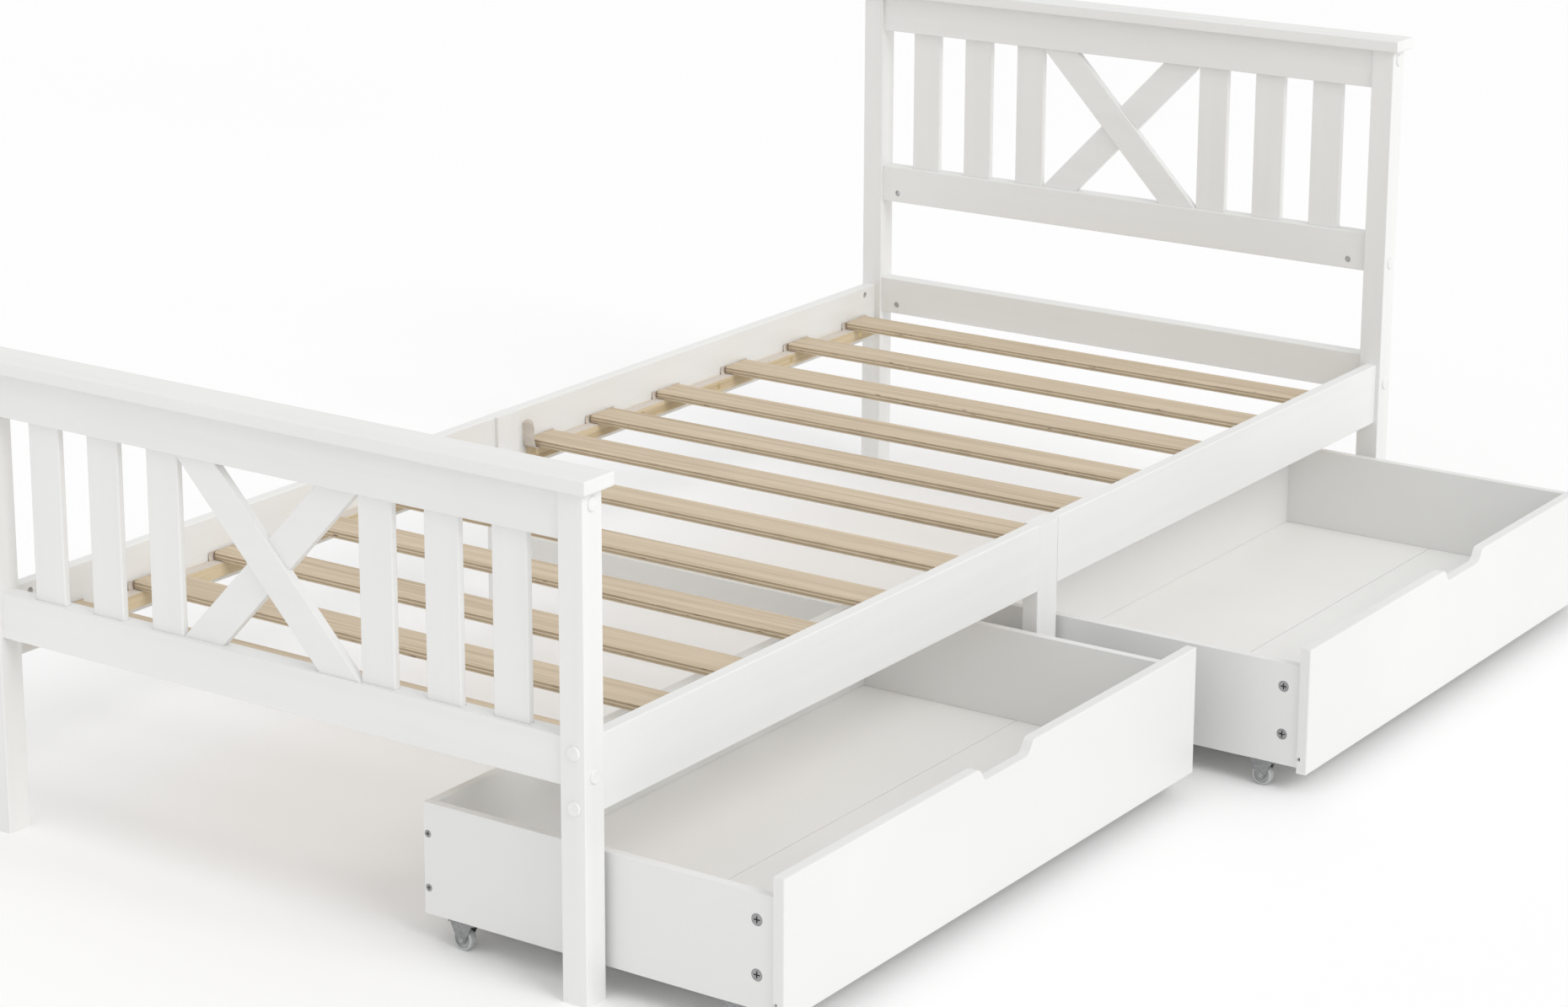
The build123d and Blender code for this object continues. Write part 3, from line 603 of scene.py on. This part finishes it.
def pour(part: bmesh.types.BMesh, place: Matrix, mesh: bmesh.types.BMesh) -> None:
    """Puts a finished shape in its place, and adds it to a mesh.

    Args:
        part: the shape, which is used up.
        place: the transform that puts it there.
        mesh: the mesh that it joins.
    """
    bmesh.ops.transform(part, matrix=place, verts=part.verts)
    spare = bpy.data.meshes.new("spare")
    part.to_mesh(spare)
    part.free()
    mesh.from_mesh(spare)
    bpy.data.meshes.remove(spare)


@dataclass
class CrossHead:
    """A round head or drum with a cross recess pressed into its face.

    The recess is made from a grid of three by three faces: its inner vertices are drawn
    in to the width of the arms, and its corner faces go.
    """

    radius: float
    height: float
    reach: float
    arm: float
    recess: float
    rim: float = 0.0004
    segments: int = 28
    inner_share: float = 0.9

    def cut(self, mesh: bmesh.types.BMesh, place: Matrix) -> None:
        """Adds one head to a mesh.

        Args:
            mesh: the mesh that the head joins.
            place: where its face lies, looking towards +Z.
        """
        head = bmesh.new()
        flat = self.radius - self.rim
        bmesh.ops.create_circle(head, segments=self.segments, radius=flat)
        outline = list(head.edges)
        bmesh.ops.create_grid(head, x_segments=3, y_segments=3, size=self.reach)
        squares = list(head.faces)
        for vert in {vert for face in squares for vert in face.verts}:
            for axis in (0, 1):
                if abs(vert.co[axis]) < self.reach * self.inner_share:
                    vert.co[axis] = math.copysign(self.arm / 2, vert.co[axis])
        corners = [
            face for face in squares
            if all(abs(way) > self.arm for way in face.calc_center_median().xy)
        ]
        bmesh.ops.delete(head, geom=corners, context="FACES")
        plus = list(head.faces)
        border = [edge for edge in head.edges if len(edge.link_faces) == 1]
        bmesh.ops.triangle_fill(head, edges=outline + border, use_beauty=True)
        sunk = bmesh.ops.extrude_face_region(head, geom=plus)["geom"]
        bmesh.ops.delete(head, geom=plus, context="FACES_ONLY")
        floor = [part for part in sunk if isinstance(part, bmesh.types.BMVert)]
        bmesh.ops.translate(head, verts=floor, vec=(0.0, 0.0, -self.recess))
        for grown, drop in (((flat + self.rim) / flat, -self.rim), (1.0, self.rim - self.height)):
            made = bmesh.ops.extrude_edge_only(head, edges=outline)["geom"]
            lower = [part for part in made if isinstance(part, bmesh.types.BMVert)]
            bmesh.ops.scale(head, verts=lower, vec=(grown, grown, 1.0))
            bmesh.ops.translate(head, verts=lower, vec=(0.0, 0.0, drop))
            outline = [
                part for part in made
                if isinstance(part, bmesh.types.BMEdge) and all(vert in lower for vert in part.verts)
            ]
        bmesh.ops.holes_fill(head, edges=outline)
        pour(head, place, mesh)


@dataclass(frozen=True)
class Solid:
    """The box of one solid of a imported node."""

    low: Vector
    high: Vector

    @property
    def middle(self) -> Vector:
        """The middle of the box."""
        return (self.low + self.high) / 2

    @property
    def size(self) -> Vector:
        """The box's three sides."""
        return self.high - self.low


def solids(node: str) -> list[Solid]:
    """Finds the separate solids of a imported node.

    Args:
        node: the node's name.

    Returns:
        The box of each solid, in the order of their first vertices.
    """
    copy = bmesh.new()
    copy.from_mesh(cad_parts[node].data)
    bmesh.ops.remove_doubles(copy, verts=copy.verts, dist=WELD)
    seen: set[bmesh.types.BMVert] = set()
    found = []
    for first in copy.verts:
        if first in seen:
            continue
        seen.add(first)
        group = [first]
        for vert in group:
            for edge in vert.link_edges:
                other = edge.other_vert(vert)
                if other not in seen:
                    seen.add(other)
                    group.append(other)
        low, high = (
            Vector(pick(vert.co[axis] for vert in group) for axis in range(3)) for pick in (min, max)
        )
        found.append(Solid(low, high))
    copy.free()
    return found


def spun(outline: Outline, place: Matrix, mesh: bmesh.types.BMesh, steps: int) -> None:
    """Turns an outline about its axis, and adds the closed shape to a mesh.

    Args:
        outline: radius and height of each point, a closed ring or one that ends on the axis.
        place: where the shape's axis and foot lie.
        mesh: the mesh that it joins.
        steps: how many faces go round.
    """
    part = bmesh.new()
    ring = [part.verts.new((radius, 0.0, height)) for radius, height in outline]
    for start, end in zip(ring, ring[1:]):
        part.edges.new((start, end))
    if min(radius for radius, _ in outline) > 0.0:
        part.edges.new((ring[-1], ring[0]))
    bmesh.ops.spin(
        part,
        geom=part.verts[:] + part.edges[:],
        cent=(0.0, 0.0, 0.0),
        axis=(0.0, 0.0, 1.0),
        angle=2 * math.pi,
        steps=steps,
        use_merge=True,
        use_duplicate=False,
    )
    bmesh.ops.remove_doubles(part, verts=part.verts, dist=FINE_WELD)
    bmesh.ops.recalc_face_normals(part, faces=part.faces)
    pour(part, place, mesh)


@dataclass
class Timbers:
    """The painted frame: posts, rails, board slats, crossed bars and caps."""

    upright: tuple[str, ...] = (
        "foot_post_left", "foot_post_right", "head_post_left", "head_post_right",
        "mid_leg_left", "mid_leg_right",
        "foot_slats_left", "foot_slats_right", "head_slats_left", "head_slats_right",
    )
    crosswise: tuple[str, ...] = (
        "foot_cap", "head_cap", "foot_top_rail", "head_top_rail", "head_mid_rail",
        "foot_lower_rail", "head_lower_rail", "stretcher",
        "foot_cross_front", "foot_cross_back", "head_cross_front", "head_cross_back",
    )
    lengthwise: tuple[str, ...] = (
        "side_rail_foot_left", "side_rail_foot_right",
        "side_rail_head_left", "side_rail_head_right",
    )

    def build(self) -> None:
        """Dresses each timber with its fibres along its length."""
        for names, grain in (
            (self.upright, Grain.ALONG_Z),
            (self.crosswise, Grain.ALONG_X),
            (self.lengthwise, Grain.ALONG_Y),
        ):
            finish = PaintedTimber(f"painted_timber_{grain.name.lower()}", grain).build()
            for name in names:
                dress(name, finish)


@dataclass
class Deck:
    """The slatted deck on its battens, and the webbing that ties it together.

    Each bend of the loose tail has a radius, a turn in degrees and a number of steps.
    """

    width: float = 0.018
    thickness: float = 0.001
    body_share: float = 0.9
    columns: int = 4
    lengths: int = 160
    slat_gap: float = 0.03
    slat_width: float = 0.045
    tail_inset: float = 0.001
    tail_width: float = 0.022
    tail_bends: tuple[tuple[float, float, int], ...] = (
        (0.009, 70.0, 9), (0.046, 26.0, 10), (0.026, -18.0, 6), (0.010, 62.0, 10),
    )
    loop_bulge: float = 0.0022
    loop_tuck: float = 0.0004
    loop_width: float = 0.019
    loop_lap: float = 0.4
    loop_rows: int = 12
    loop_columns: int = 3
    tail_lead: tuple[float, ...] = (0.030, 0.020, 0.010, 0.0)
    tail_tip: float = 0.3

    def build(self) -> None:
        """Dresses the slats, battens and straps."""
        low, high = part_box("deck_slats_head")
        plywood = Plywood("deck_plywood", low.z, high.z - low.z).build()
        for name in ("deck_slats_head", "deck_slats_foot"):
            dress(name, plywood)
        pine = BareTimber("batten_pine", Grain.ALONG_Y).build()
        for name in ("battens_left", "battens_right"):
            dress(name, pine)
        self.straps()

    def strip(
        self,
        mesh: bmesh.types.BMesh,
        width: tuple[float, float],
        path: list[Vector],
        rounded: bool = False,
    ) -> None:
        """Lays a flat band along a path.

        Args:
            mesh: the mesh that the band joins.
            width: the X values of its two edges.
            path: points of its middle surface, in the plane of Y and Z.
            rounded: whether the band's last end is cut round.
        """
        middle = (width[0] + width[1]) / 2
        half = abs(width[1] - width[0]) / 2
        left_over = [
            sum((after - before).length for before, after in zip(path[index:], path[index + 1:]))
            for index in range(len(path))
        ]
        before = set(mesh.verts)
        bmesh.ops.create_grid(mesh, x_segments=self.columns, y_segments=len(path) - 1, size=1.0)
        rows = sorted({round(vert.co.y, 5) for vert in mesh.verts if vert not in before})
        for vert in set(mesh.verts) - before:
            row = rows.index(round(vert.co.y, 5))
            reach = half
            if rounded:
                short = max(0.0, 1.0 - left_over[row] / half)
                reach = half * max(self.tail_tip, math.sqrt(1.0 - short * short))
            vert.co = Vector((middle + vert.co.x * reach, path[row].y, path[row].z))

    def tail(self, start: float, level: float) -> list[Vector]:
        """Points of the loose end, which rises past the last slat and leans back at its tip.

        Args:
            start: the Y value where it leaves the last slat.
            level: the height of its middle surface there.

        Returns:
            The points of its middle surface.
        """
        points = [Vector((0.0, start + run, level)) for run in self.tail_lead]
        heading = math.pi
        for radius, turn, steps in self.tail_bends:
            step_turn = math.radians(turn) / steps
            for _ in range(steps):
                heading -= step_turn / 2
                ahead = Vector((0.0, math.cos(heading), math.sin(heading)))
                points.append(points[-1] + ahead * radius * abs(step_turn))
                heading -= step_turn / 2
        return points

    def level(self, slats: tuple[Vector, Vector]) -> float:
        """Height of the straps' middle surface, just under the slats.

        Args:
            slats: the box of the slats.

        Returns:
            The height.
        """
        return slats[0].z - self.thickness / 2

    def end_loop(
        self, mesh: bmesh.types.BMesh, side: int, slats: tuple[Vector, Vector], middle: float
    ) -> None:
        """Folds the strap round one slat's end.

        Args:
            mesh: the mesh that the loop joins.
            side: -1 at the left end of the slat, and 1 at the right.
            slats: the box of the slats.
            middle: the Y value of the slat's middle.
        """
        before = set(mesh.verts)
        bmesh.ops.create_grid(
            mesh, x_segments=self.loop_rows, y_segments=self.loop_columns, size=1.0
        )
        slat_end = slats[0].x if side < 0 else slats[1].x
        level = self.level(slats)
        half = (slats[1].z - level) / 2
        for vert in set(mesh.verts) - before:
            turn = math.pi / 2 * vert.co.x
            out = slat_end + side * (self.loop_bulge * math.cos(turn) - self.loop_tuck)
            lift = level + half + math.sin(turn) * (half + self.thickness * self.loop_lap)
            vert.co = Vector((out, middle + vert.co.y * self.loop_width / 2, lift))

    def straps(self) -> None:
        """Builds the four straps with their end loops and the loose tail."""
        webbing = Webbing("strap_webbing").build()
        low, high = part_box("deck_straps")
        mesh = bmesh.new()
        for node in ("deck_slats_head", "deck_slats_foot"):
            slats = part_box(node)
            run = slats[1].y - slats[0].y
            path = [
                Vector((0.0, slats[0].y + run * step / self.lengths, self.level(slats)))
                for step in range(self.lengths + 1)
            ]
            for side, edge in ((-1, low.x), (1, high.x)):
                self.strip(mesh, (edge - side * self.thickness, edge - side * self.width), path)
                for middle in self.middles(node):
                    self.end_loop(mesh, side, slats, middle)
        tail = self.tail(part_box("deck_slats_head")[0].y, self.level(slats))
        left = low.x + self.tail_inset
        self.strip(mesh, (left, left + self.tail_width), tail, rounded=True)
        bmesh.ops.solidify(mesh, geom=list(mesh.faces), thickness=self.thickness * self.body_share)
        made = settle(mesh, "deck_webbing", webbing)
        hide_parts("deck_straps")
        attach(made, "frame")

    def middles(self, node: str) -> list[float]:
        """Middle lines of a node's slats.

        Args:
            node: the node that holds the slats.

        Returns:
            The Y value of each slat's middle.
        """
        values = sorted(vert.co.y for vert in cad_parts[node].data.vertices)
        groups = [[values[0]]]
        for value in values[1:]:
            apart = value - groups[-1][-1] > self.slat_gap
            if apart and value - groups[-1][0] > self.slat_width:
                groups.append([value])
            else:
                groups[-1].append(value)
        return [(group[0] + group[-1]) / 2 for group in groups]


def dress_fittings() -> None:
    """Dresses the frame's screws, bolts, nuts, dowels and cover caps."""
    zinc = Metal("zinc_plate", (0.62, 0.63, 0.64), roughness=0.34).build()
    for name in ("frame_bolts", "barrel_nuts"):
        dress(name, zinc)
    yellow = Metal("yellow_zinc_plate", (0.60, 0.47, 0.24), roughness=0.36)
    dress("batten_screws", yellow.build())
    beech = BareTimber(
        "dowel_beech", Grain.ALONG_Y, light=(0.62, 0.45, 0.28), dark=(0.5, 0.33, 0.18)
    )
    dress("frame_dowels", beech.build())
    cover = MouldedPlastic("cover_plastic", (0.84, 0.84, 0.83), roughness=0.32)
    dress("bolt_covers", cover.build())


@dataclass
class Castor:
    """The wheels and axles of one drawer's castors."""

    drawer: str
    rim: float = 0.0015
    web_depth: float = 0.0022
    tread_wall: float = 0.0034
    hub_radius: float = 0.0048
    bore_slack: float = 0.0001
    groove_depth: float = 0.0004
    groove_width: float = 0.0016
    rivet_edge: float = 0.0003
    rivet_dimple: float = 0.0006
    rivet_ring: float = 0.0019
    dimple_share: float = 0.6
    head_height: float = 0.001
    axle_share: float = 0.5714
    corner_turns: tuple[float, ...] = (0, 22.5, 45, 67.5, 90)
    wheel_steps: int = 56
    axle_steps: int = 32
    wheels: range = range(1, 5)

    def wheel(self, index: int, bore: float, plastic: bpy.types.Material) -> None:
        """Turns one wheel: a rounded tread, sunk webs and a raised hub.

        Args:
            index: which wheel it is.
            bore: the radius of its axle.
            plastic: its finish.
        """
        node = f"{self.drawer}_castor_wheel_{index}"
        low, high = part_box(node)
        radius = (high.z - low.z) / 2
        half = (high.y - low.y) / 2
        hole = bore + self.bore_slack
        web = half - self.web_depth
        wall = radius - self.tread_wall
        groove = self.groove_width / 2
        hub = self.hub_radius
        ease = self.rivet_edge
        face = [
            (hole, half - ease), (hub - ease, half - ease), (hub, web + self.rim), (hub + ease, web),
            (wall - ease, web), (wall, half - self.rim), (wall + ease, half),
        ]
        corner = [
            (
                radius - self.rim + self.rim * math.sin(math.radians(turn)),
                half - self.rim + self.rim * math.cos(math.radians(turn)),
            )
            for turn in self.corner_turns
        ]
        tread = [(radius, groove), (radius - self.groove_depth, groove / 2)]
        mesh = bmesh.new()
        place = turned((low + high) / 2, Vector((0.0, 1.0, 0.0)))
        spun(mirrored(face + corner + tread), place, mesh, self.wheel_steps)
        made = settle(mesh, f"{node}_tread_and_hub", plastic)
        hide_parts(node)
        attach(made, f"{self.drawer}_wheel_{index}")

    def axles(self, steel: bpy.types.Material) -> None:
        """Turns the riveted axles, whose heads are dished in the middle.

        Args:
            steel: their finish.
        """
        node = f"{self.drawer}_castor_axles"
        mesh = bmesh.new()
        for axle in solids(node):
            head = axle.size.x / 2
            length = axle.size.y / 2
            base = length - self.head_height
            dimple = length - self.rivet_dimple
            ease = self.rivet_edge * 2
            half = [
                (0.0, dimple), (self.rivet_ring * self.dimple_share, dimple),
                (self.rivet_ring, length), (head - ease, length), (head, length - ease),
                (head, base), (self.stem_radius(axle), base),
            ]
            place = turned(axle.middle, Vector((0.0, 1.0, 0.0)))
            spun(mirrored(half), place, mesh, self.axle_steps)
        made = settle(mesh, f"{node}_riveted", steel)
        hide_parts(node)
        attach(made, self.drawer)

    def stem_radius(self, axle: Solid) -> float:
        """Radius of the axle between its heads.

        Args:
            axle: the axle's box.

        Returns:
            The radius.
        """
        return axle.size.x / 2 * self.axle_share

    def build(self) -> None:
        """Builds the wheels and axles, and dresses the brackets."""
        steel = Metal(f"{self.drawer}_zinc", (0.33, 0.335, 0.34), roughness=0.3).build()
        dress(f"{self.drawer}_castor_brackets", steel)
        bright = Metal(f"{self.drawer}_rivet", (0.46, 0.465, 0.47), roughness=0.24).build()
        self.axles(bright)
        grey = MouldedPlastic(f"{self.drawer}_wheel_plastic", (0.50, 0.51, 0.51), roughness=0.3)
        plastic = grey.build()
        bore = self.stem_radius(solids(f"{self.drawer}_castor_axles")[0])
        for index in self.wheels:
            self.wheel(index, bore, plastic)


@dataclass
class Hardware:
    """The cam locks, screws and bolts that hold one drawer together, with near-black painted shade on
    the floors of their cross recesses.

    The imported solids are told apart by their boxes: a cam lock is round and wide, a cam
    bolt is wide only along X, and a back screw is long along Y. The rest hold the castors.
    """

    drawer: str
    wide: float = 0.013
    long: float = 0.02
    round_slack: float = 0.0006
    cam_reach: float = 0.0042
    cam_arm: float = 0.0017
    cam_recess: float = 0.0016
    screw_reach: float = 0.0026
    screw_arm: float = 0.0011
    screw_recess: float = 0.0014
    head_skirt: float = 0.0008
    skirt_share: float = 0.98
    shank_share: float = 0.4
    cone: float = 0.0022
    pan: float = 0.0016
    pan_edge: float = 0.0007
    pan_flat_share: float = 0.7
    pan_shank_share: float = 0.53
    bolt_ease_share: float = 0.2
    steps: int = 20
    recess_slack: float = 0.0002
    facing: float = 0.9
    recess_levels: list[float] = field(default_factory=list)

    def build(self) -> None:
        """Builds every fitting of the drawer as one dressed piece."""
        node = f"{self.drawer}_fittings"
        steel = Metal(f"{self.drawer}_fitting_steel", (0.40, 0.40, 0.405), roughness=0.36).build()
        # Painted shade: a near-black finish that stands in for the shadow on the floor of each cross
        # recess.
        dark = MouldedPlastic(f"{self.drawer}_recess", (0.03, 0.03, 0.03), roughness=0.6).build()
        box_low, box_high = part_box(f"{self.drawer}_floor")
        middle = (box_low.y + box_high.y) / 2
        mesh = bmesh.new()
        for part in solids(node):
            outward = Vector((0.0, math.copysign(1.0, part.middle.y - middle), 0.0))
            size = part.size
            if size.x > self.wide and abs(size.x - size.z) < self.round_slack:
                self.cam(mesh, part, outward)
            elif size.x > self.wide:
                self.bolt(mesh, part)
            elif size.y > self.long:
                self.screw(mesh, part, outward)
            else:
                self.castor_screw(mesh, part)
        made = settle(mesh, f"{self.drawer}_locks_and_screws", steel)
        # The recess floors take the near-black painted shade, and the other faces keep the steel.
        made.data.materials.append(dark)
        for face in made.data.polygons:
            if self.takes_painted_recess_shade(face):
                face.material_index = 1
        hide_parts(node)
        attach(made, self.drawer)

    def takes_painted_recess_shade(self, face: bpy.types.MeshPolygon) -> bool:
        """Tells the floor of a cross recess, which takes the near-black painted shade, from the other
        faces.

        Args:
            face: a face of the finished fittings.

        Returns:
            True if it looks along Y and lies as deep as one of the recesses.
        """
        near = any(abs(face.center.y - level) < self.recess_slack for level in self.recess_levels)
        return near and abs(face.normal.y) > self.facing

    def head(
        self, mesh: bmesh.types.BMesh, part: Solid, outward: Vector, shape: CrossHead
    ) -> Vector:
        """Adds a head with a cross recess at a fitting's outer end.

        Args:
            mesh: the mesh that it joins.
            part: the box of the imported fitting.
            outward: the way that the head looks.
            shape: the head.

        Returns:
            The middle of the head's face.
        """
        face = part.middle.copy()
        face.y = part.high.y if outward.y > 0 else part.low.y
        shape.cut(mesh, turned(face, outward))
        self.recess_levels.append(face.y - outward.y * shape.recess)
        return face

    def cam(self, mesh: bmesh.types.BMesh, part: Solid, outward: Vector) -> None:
        """Adds one cam lock's drum.

        Args:
            mesh: the mesh that it joins.
            part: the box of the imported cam.
            outward: the way that its face looks.
        """
        shape = CrossHead(
            part.size.x / 2, part.size.y, self.cam_reach, self.cam_arm, self.cam_recess
        )
        self.head(mesh, part, outward, shape)

    def screw(self, mesh: bmesh.types.BMesh, part: Solid, outward: Vector) -> None:
        """Adds one countersunk screw with its shank.

        Args:
            mesh: the mesh that it joins.
            part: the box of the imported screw.
            outward: the way that its head looks.
        """
        radius = part.size.x / 2
        shape = CrossHead(
            radius, self.head_skirt, self.screw_reach, self.screw_arm, self.screw_recess
        )
        face = self.head(mesh, part, outward, shape)
        length = part.size.y - self.head_skirt
        core = radius * self.shank_share
        outline = [
            (0.0, 0.0), (radius * self.skirt_share, 0.0),
            (core, -self.cone), (core, -length), (0.0, -length),
        ]
        spun(outline, turned(face - outward * self.head_skirt, outward), mesh, self.steps)

    def castor_screw(self, mesh: bmesh.types.BMesh, part: Solid) -> None:
        """Adds one pan-headed castor screw, seen from below.

        Args:
            mesh: the mesh that it joins.
            part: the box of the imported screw.
        """
        face = part.middle.copy()
        face.z = part.low.z
        radius = part.size.x / 2
        shank = radius * self.pan_shank_share
        outline = [
            (0.0, 0.0), (radius * self.pan_flat_share, 0.0),
            (radius, -self.pan_edge), (radius, -self.pan),
            (shank, -self.pan), (shank, -part.size.z), (0.0, -part.size.z),
        ]
        spun(outline, turned(face, Vector((0.0, 0.0, -1.0))), mesh, self.steps)

    def bolt(self, mesh: bmesh.types.BMesh, part: Solid) -> None:
        """Adds one plain cam bolt along X, with eased ends.

        Args:
            mesh: the mesh that it joins.
            part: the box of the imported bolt.
        """
        radius = part.size.z / 2
        length = part.size.x
        ease = radius * self.bolt_ease_share
        outline = [
            (0.0, 0.0), (radius - ease, 0.0), (radius, ease),
            (radius, length - ease), (radius - ease, length), (0.0, length),
        ]
        start = part.middle.copy()
        start.x = part.low.x
        spun(outline, turned(start, Vector((1.0, 0.0, 0.0))), mesh, self.steps)


@dataclass
class Drawer:
    """One rolling drawer."""

    name: str

    def build(self) -> None:
        """Dresses the drawer's boards, and builds its fittings and castors."""
        board = PaintedBoard(f"{self.name}_paint").build()
        for part in ("front", "side_foot", "side_head", "back"):
            dress(f"{self.name}_{part}", board)
        dress(f"{self.name}_floor", FoiledBoard(f"{self.name}_foil").build())
        Hardware(self.name).build()
        Castor(self.name).build()


@dataclass(frozen=True)
class Sun:
    """An even soft light: the way towards it, its strength, and the angle that it fills in degrees."""

    name: str
    towards: tuple[float, float, float]
    power: float
    spread: float

    def build(self) -> None:
        """Adds the light to the scene."""
        data = bpy.data.lights.new(self.name, "SUN")
        data.energy = self.power
        data.angle = math.radians(self.spread)
        made = bpy.data.objects.new(self.name, data)
        made.rotation_mode = "QUATERNION"
        made.rotation_quaternion = Vector(self.towards).to_track_quat("Z", "Y")
        bpy.context.collection.objects.link(made)


@dataclass(frozen=True)
class Studio:
    """Floor, camera and soft lights."""

    place: tuple[float, float, float] = (2.75021, -4.22382, 1.83058)
    azimuth: float = 34.39
    elevation: float = 14.41
    roll: float = 0.21
    lens: float = 86.39
    sensor: float = 36.0
    shift: float = -0.1062
    floor_reach: float = 60.0
    floor_colour: Colour = (0.985, 0.985, 0.985)
    floor_shade: Colour = (0.975, 0.975, 0.975)
    air: float = 0.80
    suns: tuple[Sun, ...] = (
        Sun("side_glow", (0.78, -0.12, 0.61), power=1.10, spread=34.0),
        Sun("front_fill", (0.15, -0.85, 0.45), power=0.09, spread=60.0),
    )

    def camera(self) -> None:
        """Stands the camera at the front right, looking down along the bed."""
        turn = math.radians(self.azimuth)
        tilt = math.radians(self.elevation)
        lean = math.radians(self.roll)
        ahead = Vector((
            -math.sin(turn) * math.cos(tilt),
            math.cos(turn) * math.cos(tilt),
            -math.sin(tilt),
        ))
        right = Vector((math.cos(turn), math.sin(turn), 0.0))
        up = right.cross(ahead)
        across = right * math.cos(lean) + up * math.sin(lean)
        upward = up * math.cos(lean) - right * math.sin(lean)
        data = bpy.data.cameras.new("camera")
        data.sensor_width = self.sensor
        data.lens = self.lens
        data.shift_y = self.shift
        made = bpy.data.objects.new("camera", data)
        turned_view = Matrix((across, upward, -ahead)).transposed().to_4x4()
        made.matrix_world = Matrix.Translation(self.place) @ turned_view
        bpy.context.collection.objects.link(made)
        bpy.context.scene.camera = made

    def floor(self) -> None:
        """Lays the pale floor under the bed."""
        tree = Tree("floor_paint")
        cloud = tree.noise(0.6, detail=2.0)
        material = tree.finish(
            Base_Color=tree.mix(tree.level(cloud, 0.3, 0.7), self.floor_colour, self.floor_shade),
            Roughness=0.7,
        )
        mesh = bmesh.new()
        bmesh.ops.create_grid(mesh, x_segments=1, y_segments=1, size=self.floor_reach)
        ground = settle(mesh, "floor", material)

    def build(self) -> None:
        """Sets up the whole studio."""
        self.camera()
        self.floor()
        for sun in self.suns:
            sun.build()
        world = bpy.data.worlds.new("studio_air")
        world.use_nodes = True
        back = world.node_tree.nodes["Background"]
        back.inputs["Color"].default_value = (1.0, 1.0, 1.0, 1.0)
        back.inputs["Strength"].default_value = self.air
        bpy.context.scene.world = world
        bpy.context.scene.view_settings.view_transform = "Standard"


def main() -> None:
    """Builds the bed's looks and the studio."""
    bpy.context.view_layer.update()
    Timbers().build()
    Deck().build()
    dress_fittings()
    for name in ("drawer_1", "drawer_2"):
        Drawer(name).build()
    Studio().build()


if __name__ == "__main__":
    main()
